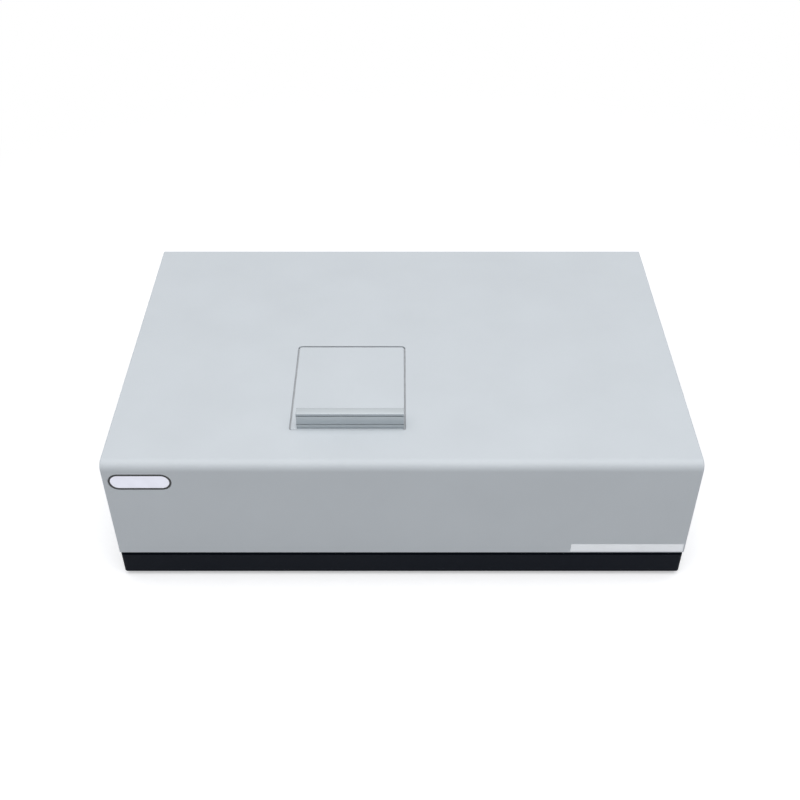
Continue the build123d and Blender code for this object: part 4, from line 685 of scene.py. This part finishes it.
def gasket(sizes):
    """The rubber gasket round the compartment's mouth, with rounded edges and two legs to the rear."""
    low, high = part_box("lid_seal")
    middle = (low + high) / 2
    width, depth = high.x - low.x, high.y - low.y
    inner_low = low.x + sizes.side_width
    inner_high = high.x - sizes.side_width
    piece = begin(
        "lid_gasket",
        bpy.ops.mesh.primitive_plane_add,
        size=1.0,
        location=(middle.x, middle.y, low.z),
        scale=(width, depth, 1),
    )
    bpy.ops.object.mode_set(mode="EDIT")
    bpy.ops.mesh.select_all(action="SELECT")
    bpy.ops.mesh.inset(thickness=sizes.rear_width)
    # The inset is as wide all round, so its inner edge is brought to the widths at the sides and front
    wanted_width = width - 2 * sizes.side_width
    wanted_depth = depth - sizes.rear_width - sizes.front_width
    spare = 2 * sizes.rear_width
    bpy.ops.transform.resize(
        value=(wanted_width / (width - spare), wanted_depth / (depth - spare), 1), center_override=middle
    )
    bpy.ops.transform.translate(value=(0, (sizes.front_width - sizes.rear_width) / 2, 0))
    bpy.ops.mesh.delete(type="FACE")
    bpy.ops.mesh.select_all(action="SELECT")
    push((0, 0, high.z - low.z))
    bpy.ops.mesh.select_all(action="SELECT")
    bpy.ops.mesh.normals_make_consistent(inside=False)
    for side in (inner_low, inner_high):
        cut((side, 0, 0), (1, 0, 0))
    choose(
        "FACE",
        lambda spot, normal: normal.y > SQUARE
        and spot.y > high.y - NEAR
        and not inner_low < spot.x < inner_high,
    )
    push((0, sizes.legs, 0))
    choose(
        "EDGE",
        lambda spot, along: abs(along.z) > SQUARE
        and spot.y < low.y + NEAR
        and not low.x + NEAR < spot.x < high.x - NEAR,
    )
    bpy.ops.mesh.bevel(offset=sizes.corner, segments=8, affect="EDGES")
    bpy.ops.object.mode_set(mode="OBJECT")
    break_edges(piece, sizes.bulb, 3)
    complete(piece, "housing", ["moulded_silicone_rubber"], ["lid_seal"], smooth_under=50)


def badge(sizes):
    """The blank badge on the front: a rim painted near black as shade, and, inside a fine gap, a pale domed
    field.
    """
    low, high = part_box("badge_plate")
    middle = (low + high) / 2
    radius = (high.z - low.z) / 2
    reach = (high.x - low.x) / 2 - radius
    sides = 64
    piece = begin(
        "blank_badge",
        bpy.ops.mesh.primitive_cylinder_add,
        vertices=sides,
        radius=radius,
        depth=high.y - low.y,
        location=middle,
        rotation=(math.pi / 2, math.pi / sides, 0),
    )
    bpy.ops.object.mode_set(mode="EDIT")
    for side in (-1, 1):
        choose("VERT", lambda spot, side=side: side * (spot.x - middle.x) > 0)
        bpy.ops.transform.translate(value=(side * reach, 0, 0))
    choose("FACE", lambda spot, normal: normal.y < -SQUARE)
    bpy.ops.mesh.inset(thickness=sizes.rim)
    push((0, sizes.step, 0))
    bpy.ops.mesh.inset(thickness=sizes.gap)
    # Half of the field's height is its upright wall, and half the dome over it
    wall = sizes.rise * sizes.step / 2
    push((0, -wall, 0))
    rings = 5
    slopes = [math.cos(0.5 * math.pi * ring / rings) for ring in range(rings + 1)]
    for outer, inner in zip(slopes, slopes[1:]):
        bpy.ops.mesh.inset(thickness=sizes.dome / rings, depth=wall * (outer - inner))
    bpy.ops.object.mode_set(mode="OBJECT")
    rim_inside = sizes.rim + sizes.gap / 2
    for face in piece.data.polygons:
        spot = face.center
        beyond = max(0.0, abs(spot.x - middle.x) - reach)
        from_edge = radius - math.hypot(beyond, spot.z - middle.z)
        face.material_index = int(from_edge > rim_inside and spot.y < middle.y)
    # The rim and the badge's back take the near-black painted shade, and the field inside the rim takes the
    # foil
    complete(
        piece,
        "housing",
        ["dark_rim_painted_shade", "domed_silver_foil"],
        ["badge_plate"],
        smooth_under=25,
    )


def impeller(sizes):
    """The fan's rotor: a capped hub and curved, twisted blades."""
    low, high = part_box("fan_rotor")
    middle = (low + high) / 2
    tip = (high.z - low.z) / 2
    hub = begin(
        "fan_impeller",
        bpy.ops.mesh.primitive_cylinder_add,
        vertices=72,
        radius=sizes.hub,
        depth=high.y - low.y,
        location=middle,
        rotation=(math.pi / 2, 0, 0),
    )
    bpy.ops.object.mode_set(mode="EDIT")
    choose("FACE", lambda spot, normal: normal.y > SQUARE)
    bpy.ops.mesh.inset(thickness=sizes.cap_rim)
    push((0, -sizes.cap_depth, 0))
    bpy.ops.mesh.inset(thickness=sizes.cap_ledge)
    bpy.ops.object.mode_set(mode="OBJECT")
    break_edges(hub, sizes.hub_round, 3)
    root = sizes.hub - sizes.root
    span = tip - root
    columns, rows = 6, 8
    blade = begin(
        "fan_blade",
        bpy.ops.mesh.primitive_grid_add,
        x_subdivisions=columns,
        y_subdivisions=rows,
        size=1.0,
        location=(middle.x + root + span / 2, middle.y, middle.z),
        scale=(span, sizes.chord, 1),
    )
    bpy.ops.object.mode_set(mode="EDIT")
    for row in range(rows + 1):
        across = (row / rows - 0.5) * 2
        level = middle.y + across * sizes.chord / 2
        choose("VERT", lambda spot, level=level: abs(spot.y - level) < NEAR)
        bpy.ops.transform.translate(value=(0, 0, sizes.camber * (1 - across * across)))
    for column in range(columns + 1):
        outwards = column / columns
        radial = middle.x + root + outwards * span
        choose("VERT", lambda spot, radial=radial: abs(spot.x - radial) < NEAR)
        bpy.ops.transform.rotate(
            value=sizes.root_pitch + outwards * (sizes.tip_pitch - sizes.root_pitch),
            orient_axis="X",
            center_override=(radial, middle.y, middle.z),
        )
    bpy.ops.object.mode_set(mode="OBJECT")
    wall = blade.modifiers.new("wall", "SOLIDIFY")
    wall.thickness = sizes.sheet
    wall.offset = 0.0
    bpy.ops.object.modifier_apply(modifier=wall.name)
    break_edges(blade, sizes.blade_edge, 2)
    blades = [blade]
    for turn in range(1, sizes.blades):
        bpy.ops.object.select_all(action="DESELECT")
        blade.select_set(True)
        bpy.context.view_layer.objects.active = blade
        bpy.ops.object.duplicate()
        bpy.ops.transform.rotate(
            value=turn * 2 * math.pi / sizes.blades, orient_axis="Y", center_override=middle
        )
        bpy.ops.object.transform_apply(location=True, rotation=True, scale=True)
        blades.append(bpy.context.active_object)
    join(hub, blades)
    complete(hub, "cooling_rotor", ["black_moulded_nylon"], ["fan_rotor"])


def lead_screw(sizes):
    """The scan drive's screw: plain journals, and a thread wound as a ridge round its core."""
    low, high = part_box("leadscrew")
    middle = (low + high) / 2
    core_radius = (high.z - low.z) / 2 - sizes.depth
    core = begin(
        "lead_screw",
        bpy.ops.mesh.primitive_cylinder_add,
        vertices=48,
        radius=core_radius,
        depth=high.x - low.x,
        location=middle,
        rotation=(0, math.pi / 2, 0),
    )
    bpy.ops.object.mode_set(mode="EDIT")
    for end in (-1, 1):
        choose("FACE", lambda spot, normal, end=end: end * normal.x > SQUARE)
        bpy.ops.mesh.inset(thickness=core_radius / 2)
        push((-end * sizes.end_recess, 0, 0))
    bpy.ops.object.mode_set(mode="OBJECT")
    break_edges(core, sizes.end_edge, 2)
    start = high.x - sizes.plain_right
    turns = int((start - low.x - sizes.plain_left) / sizes.pitch)
    root = middle.z + core_radius
    ridge = begin(
        "screw_thread",
        bpy.ops.mesh.primitive_plane_add,
        size=1.0,
        location=(start - sizes.pitch / 2, middle.y, root + sizes.depth / 2),
        rotation=(math.pi / 2, 0, 0),
        scale=(sizes.pitch * sizes.foot, sizes.depth, 1),
    )
    bpy.ops.object.mode_set(mode="EDIT")
    choose("VERT", lambda spot: spot.z > root + sizes.depth / 2)
    bpy.ops.transform.resize(
        value=(sizes.crest, 1, 1), center_override=(start - sizes.pitch / 2, middle.y, root)
    )
    # The thread's foot goes a little into the core, so that no gap shows between them
    choose("VERT", lambda spot: spot.z < root + sizes.depth / 2)
    bpy.ops.transform.translate(value=(0, 0, -sizes.depth / 4))
    bpy.ops.mesh.select_all(action="SELECT")
    bpy.ops.mesh.delete(type="ONLY_FACE")
    bpy.ops.object.mode_set(mode="OBJECT")
    # The Screw modifier winds round the piece's own origin
    bpy.context.scene.cursor.location = middle
    bpy.ops.object.origin_set(type="ORIGIN_CURSOR")
    bpy.context.scene.cursor.location = (0, 0, 0)
    wind = ridge.modifiers.new("thread", "SCREW")
    wind.axis = "X"
    wind.angle = 2 * math.pi
    wind.screw_offset = -sizes.pitch
    wind.iterations = turns - 1
    wind.steps = 24
    wind.render_steps = wind.steps
    bpy.ops.object.modifier_apply(modifier=wind.name)
    bpy.ops.object.transform_apply(location=True, rotation=True, scale=True)
    bpy.ops.object.mode_set(mode="EDIT")
    bpy.ops.mesh.select_all(action="SELECT")
    bpy.ops.mesh.remove_doubles(threshold=WELD)
    bpy.ops.mesh.fill_holes(sides=0)
    bpy.ops.mesh.select_all(action="SELECT")
    bpy.ops.mesh.normals_make_consistent(inside=False)
    bpy.ops.object.mode_set(mode="OBJECT")
    join(core, [ridge])
    complete(core, "scan_screw", ["zinc_plated_steel"], ["leadscrew"])


def inlet_pins(sizes):
    """Three plated pins in the mains inlet."""
    low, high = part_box("mains_inlet")
    centre = Vector(((low.x + high.x) / 2, high.y, (low.z + high.z) / 2 + sizes.middle))
    root, end = high.y - sizes.root, high.y - sizes.end
    outer_up, inner_up = -sizes.outer_drop, sizes.inner_rise
    places = ((-sizes.spread, outer_up), (sizes.spread, outer_up), (0.0, inner_up))
    for number, (sideways, up) in enumerate(places, 1):
        piece = begin(
            f"inlet_pin_{number}",
            bpy.ops.mesh.primitive_cube_add,
            size=1.0,
            location=(centre.x + sideways, (root + end) / 2, centre.z + up),
            scale=(sizes.width, end - root, sizes.height),
        )
        bpy.ops.object.mode_set(mode="EDIT")
        choose("EDGE", lambda spot, along: spot.y > end - NEAR)
        bpy.ops.mesh.bevel(offset=sizes.tip, segments=3, affect="EDGES")
        bpy.ops.object.mode_set(mode="OBJECT")
        break_edges(piece, sizes.edge, 2)
        complete(piece, "housing", ["nickel_plated_steel"])


def data_contacts(sizes):
    """The data socket's plastic tongue with four plated contacts, two above and two below."""
    low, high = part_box("usb_port")
    middle = (low + high) / 2
    root = high.y - sizes.root
    end = root + sizes.tongue_length
    tongue = begin(
        "data_socket_tongue",
        bpy.ops.mesh.primitive_cube_add,
        size=1.0,
        location=(middle.x, (root + end) / 2, middle.z),
        scale=(sizes.tongue_width, end - root, sizes.tongue_height),
    )
    bpy.ops.object.mode_set(mode="EDIT")
    choose("EDGE", lambda spot, along: spot.y > end - NEAR)
    bpy.ops.mesh.bevel(offset=sizes.tongue_tip, segments=2, affect="EDGES")
    bpy.ops.object.mode_set(mode="OBJECT")
    break_edges(tongue, sizes.tongue_edge, 2)
    complete(tongue, "housing", ["black_moulded_nylon"])
    sides = ((-1, -1), (1, -1), (-1, 1), (1, 1))
    for number, (sideways, up) in enumerate(sides, 1):
        contact = begin(
            f"data_socket_contact_{number}",
            bpy.ops.mesh.primitive_cube_add,
            size=1.0,
            location=(
                middle.x + sideways * sizes.spread,
                root + sizes.contact_middle,
                middle.z + up * sizes.level,
            ),
            scale=(sizes.contact_width, sizes.contact_length, sizes.contact_sheet),
        )
        break_edges(contact, sizes.contact_edge, 2)
        complete(contact, "housing", ["gold_plated_contact"])


# Sizes and places in the studio, in metres, and how many degrees the view looks down
FLOOR_SIZE = 12.0
LAMP_SIZE = (3.4, 2.6)
LAMP_PLACE = (0.1, -0.6, 2.0)
CAMERA_PLACE = (-0.0016, -0.8096, 0.7516)
CAMERA_DOWN = 40.1
# The paper floor: the light it sends to the eye, its own glow, and the light it sends to the object
PAPER_LIT = 0.98
PAPER_GLOW = 0.39
PAPER_BOUNCE = 0.5
# The glow gives way to plain white from half of this distance to the whole of it, in metres
PAPER_REACH = 1 / 1.1
WHITE = linear("FFFFFF")


def shot():
    """The studio's floor, lights and camera, with a plain white background."""
    studio = bpy.context.scene.analyzer_studio
    scene = bpy.context.scene
    floor = begin("studio_floor", bpy.ops.mesh.primitive_plane_add, size=FLOOR_SIZE, location=(0, 0, 0))
    floor.data.materials.append(floor_finish())
    world = bpy.data.worlds.new("studio_world")
    world.use_nodes = True
    tree = world.node_tree
    tree.nodes.clear()
    seen = seen_directly(tree)
    even = add_node(tree, "ShaderNodeBackground", {"Color": linear("F4F7FF"), "Strength": studio.fill})
    white = add_node(tree, "ShaderNodeBackground", {"Color": WHITE, "Strength": 1.0})
    mixed = add_node(
        tree,
        "ShaderNodeMixShader",
        {0: seen, 1: even.outputs["Background"], 2: white.outputs["Background"]},
    )
    add_node(tree, "ShaderNodeOutputWorld", {"Surface": mixed.outputs["Shader"]})
    scene.world = world
    lamp = bpy.data.lights.new("overhead_light", "AREA")
    lamp.shape = "RECTANGLE"
    lamp.size, lamp.size_y = LAMP_SIZE
    lamp.energy = studio.key
    key = bpy.data.objects.new("overhead_light", lamp)
    key.location = LAMP_PLACE
    scene.collection.objects.link(key)
    camera = bpy.data.objects.new("camera", bpy.data.cameras.new("camera"))
    camera.data.sensor_width = 36.0
    camera.data.lens = studio.lens
    camera.location = CAMERA_PLACE
    camera.rotation_euler = (math.radians(90 - CAMERA_DOWN), 0, 0)
    camera.data.clip_start = 0.01
    camera.data.clip_end = 20.0
    scene.collection.objects.link(camera)
    scene.camera = camera
    scene.view_settings.view_transform = "Standard"


def seen_directly(tree):
    """1 for rays from the camera and those that metal and glass send on, else 0."""
    path = add_node(tree, "ShaderNodeLightPath")
    first = add_node(
        tree,
        "ShaderNodeMath",
        {0: path.outputs["Is Camera Ray"], 1: path.outputs["Is Glossy Ray"]},
        operation="MAXIMUM",
    )
    both = add_node(
        tree,
        "ShaderNodeMath",
        {0: first.outputs["Value"], 1: path.outputs["Is Transmission Ray"]},
        operation="MAXIMUM",
    )
    return both.outputs["Value"]


def floor_finish():
    """Seamless white paper: white to the eye, and darker only where the object shades it."""
    made = bpy.data.materials.new("seamless_white_paper")
    made.use_nodes = True
    tree = made.node_tree
    tree.nodes.clear()
    lit = add_node(tree, "ShaderNodeBsdfDiffuse", {"Color": shade(WHITE, PAPER_LIT)})
    glow = add_node(tree, "ShaderNodeEmission", {"Color": WHITE, "Strength": PAPER_GLOW})
    near = add_node(tree, "ShaderNodeAddShader", {0: lit.outputs["BSDF"], 1: glow.outputs["Emission"]})
    far = add_node(tree, "ShaderNodeEmission", {"Color": WHITE, "Strength": 1.0})
    place = add_node(tree, "ShaderNodeTexCoord").outputs["Object"]
    span = add_node(tree, "ShaderNodeMapping", {"Vector": place, "Scale": [1 / PAPER_REACH] * 3})
    distance = add_node(
        tree, "ShaderNodeTexGradient", {"Vector": span.outputs["Vector"]}, gradient_type="SPHERICAL"
    )
    share = add_node(
        tree,
        "ShaderNodeMapRange",
        {"Value": distance.outputs["Fac"], "From Max": 0.5},
        interpolation_type="SMOOTHSTEP",
    )
    paper = add_node(
        tree,
        "ShaderNodeMixShader",
        {0: share.outputs["Result"], 1: far.outputs["Emission"], 2: near.outputs["Shader"]},
    )
    bounce = add_node(tree, "ShaderNodeBsdfDiffuse", {"Color": shade(WHITE, PAPER_BOUNCE)})
    mixed = add_node(
        tree,
        "ShaderNodeMixShader",
        {0: seen_directly(tree), 1: bounce.outputs["BSDF"], 2: paper.outputs["Shader"]},
    )
    add_node(tree, "ShaderNodeOutputMaterial", {"Surface": mixed.outputs["Shader"]})
    return made


# Operators, one for each piece or group of like pieces


class ANALYZER_OT_finishes(bpy.types.Operator):
    """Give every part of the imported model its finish"""

    bl_idname = "analyzer.finishes"
    bl_label = "Finishes"

    def execute(self, context):
        for row in frame["record"]["subparts"]:
            node = row["node"]
            name = NODE_FINISHES.get(node, SLOT_FINISHES[row["material_slot"]])
            part = frame["nodes"][node]
            part.data.materials.clear()
            part.data.materials.append(finish(name))
        return {"FINISHED"}


class ANALYZER_OT_pull_bar(bpy.types.Operator):
    """Model the lid's pull bar"""

    bl_idname = "analyzer.pull_bar"
    bl_label = "Pull bar"

    def execute(self, context):
        pull_bar(context.scene.analyzer_bar)
        return {"FINISHED"}


class ANALYZER_OT_gasket(bpy.types.Operator):
    """Model the gasket of the sample compartment"""

    bl_idname = "analyzer.gasket"
    bl_label = "Lid gasket"

    def execute(self, context):
        gasket(context.scene.analyzer_gasket)
        return {"FINISHED"}


class ANALYZER_OT_badge(bpy.types.Operator):
    """Model the blank badge on the front"""

    bl_idname = "analyzer.badge"
    bl_label = "Blank badge"

    def execute(self, context):
        badge(context.scene.analyzer_badge)
        return {"FINISHED"}


class ANALYZER_OT_impeller(bpy.types.Operator):
    """Model the fan's rotor"""

    bl_idname = "analyzer.impeller"
    bl_label = "Fan impeller"

    def execute(self, context):
        impeller(context.scene.analyzer_impeller)
        return {"FINISHED"}


class ANALYZER_OT_lead_screw(bpy.types.Operator):
    """Model the threaded screw of the scan drive"""

    bl_idname = "analyzer.lead_screw"
    bl_label = "Lead screw"

    def execute(self, context):
        lead_screw(context.scene.analyzer_screw)
        return {"FINISHED"}


class ANALYZER_OT_contacts(bpy.types.Operator):
    """Model the pins of the mains inlet and the contacts of the data socket"""

    bl_idname = "analyzer.contacts"
    bl_label = "Pins and contacts"

    def execute(self, context):
        inlet_pins(context.scene.analyzer_pins)
        data_contacts(context.scene.analyzer_contacts)
        return {"FINISHED"}


class ANALYZER_OT_studio(bpy.types.Operator):
    """Set up the floor, the light and the camera"""

    bl_idname = "analyzer.studio"
    bl_label = "Studio"

    def execute(self, context):
        shot()
        return {"FINISHED"}


OPERATORS = (
    ANALYZER_OT_finishes,
    ANALYZER_OT_pull_bar,
    ANALYZER_OT_gasket,
    ANALYZER_OT_badge,
    ANALYZER_OT_impeller,
    ANALYZER_OT_lead_screw,
    ANALYZER_OT_contacts,
    ANALYZER_OT_studio,
)
SETTINGS = {
    "analyzer_colours": AnalyzerColours,
    "analyzer_bar": PullBarSizes,
    "analyzer_gasket": GasketSizes,
    "analyzer_badge": BadgeSizes,
    "analyzer_impeller": ImpellerSizes,
    "analyzer_screw": ScrewSizes,
    "analyzer_pins": PinSizes,
    "analyzer_contacts": ContactSizes,
    "analyzer_studio": StudioSettings,
}


class ANALYZER_PT_panel(bpy.types.Panel):
    bl_idname = "ANALYZER_PT_panel"
    bl_label = "Infrared oil analyzer"
    bl_space_type = "VIEW_3D"
    bl_region_type = "UI"
    bl_category = "Analyzer"

    def draw(self, context):
        for name, group in SETTINGS.items():
            box = self.layout.box()
            settings = getattr(context.scene, name)
            for key in group.__annotations__:
                box.prop(settings, key)
        for operator in OPERATORS:
            self.layout.operator(operator.bl_idname)


def register():
    for group in SETTINGS.values():
        bpy.utils.register_class(group)
    for name, group in SETTINGS.items():
        setattr(bpy.types.Scene, name, PointerProperty(type=group))
    for operator in OPERATORS:
        bpy.utils.register_class(operator)
    bpy.utils.register_class(ANALYZER_PT_panel)


def unregister():
    bpy.utils.unregister_class(ANALYZER_PT_panel)
    for operator in reversed(OPERATORS):
        bpy.utils.unregister_class(operator)
    for name, group in SETTINGS.items():
        delattr(bpy.types.Scene, name)
        bpy.utils.unregister_class(group)


def main():
    """Builds everything."""
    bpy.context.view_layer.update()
    register()
    bpy.ops.analyzer.finishes()
    bpy.ops.analyzer.pull_bar()
    bpy.ops.analyzer.gasket()
    bpy.ops.analyzer.badge()
    bpy.ops.analyzer.impeller()
    bpy.ops.analyzer.lead_screw()
    bpy.ops.analyzer.contacts()
    bpy.ops.analyzer.studio()


if __name__ == "__main__":
    main()
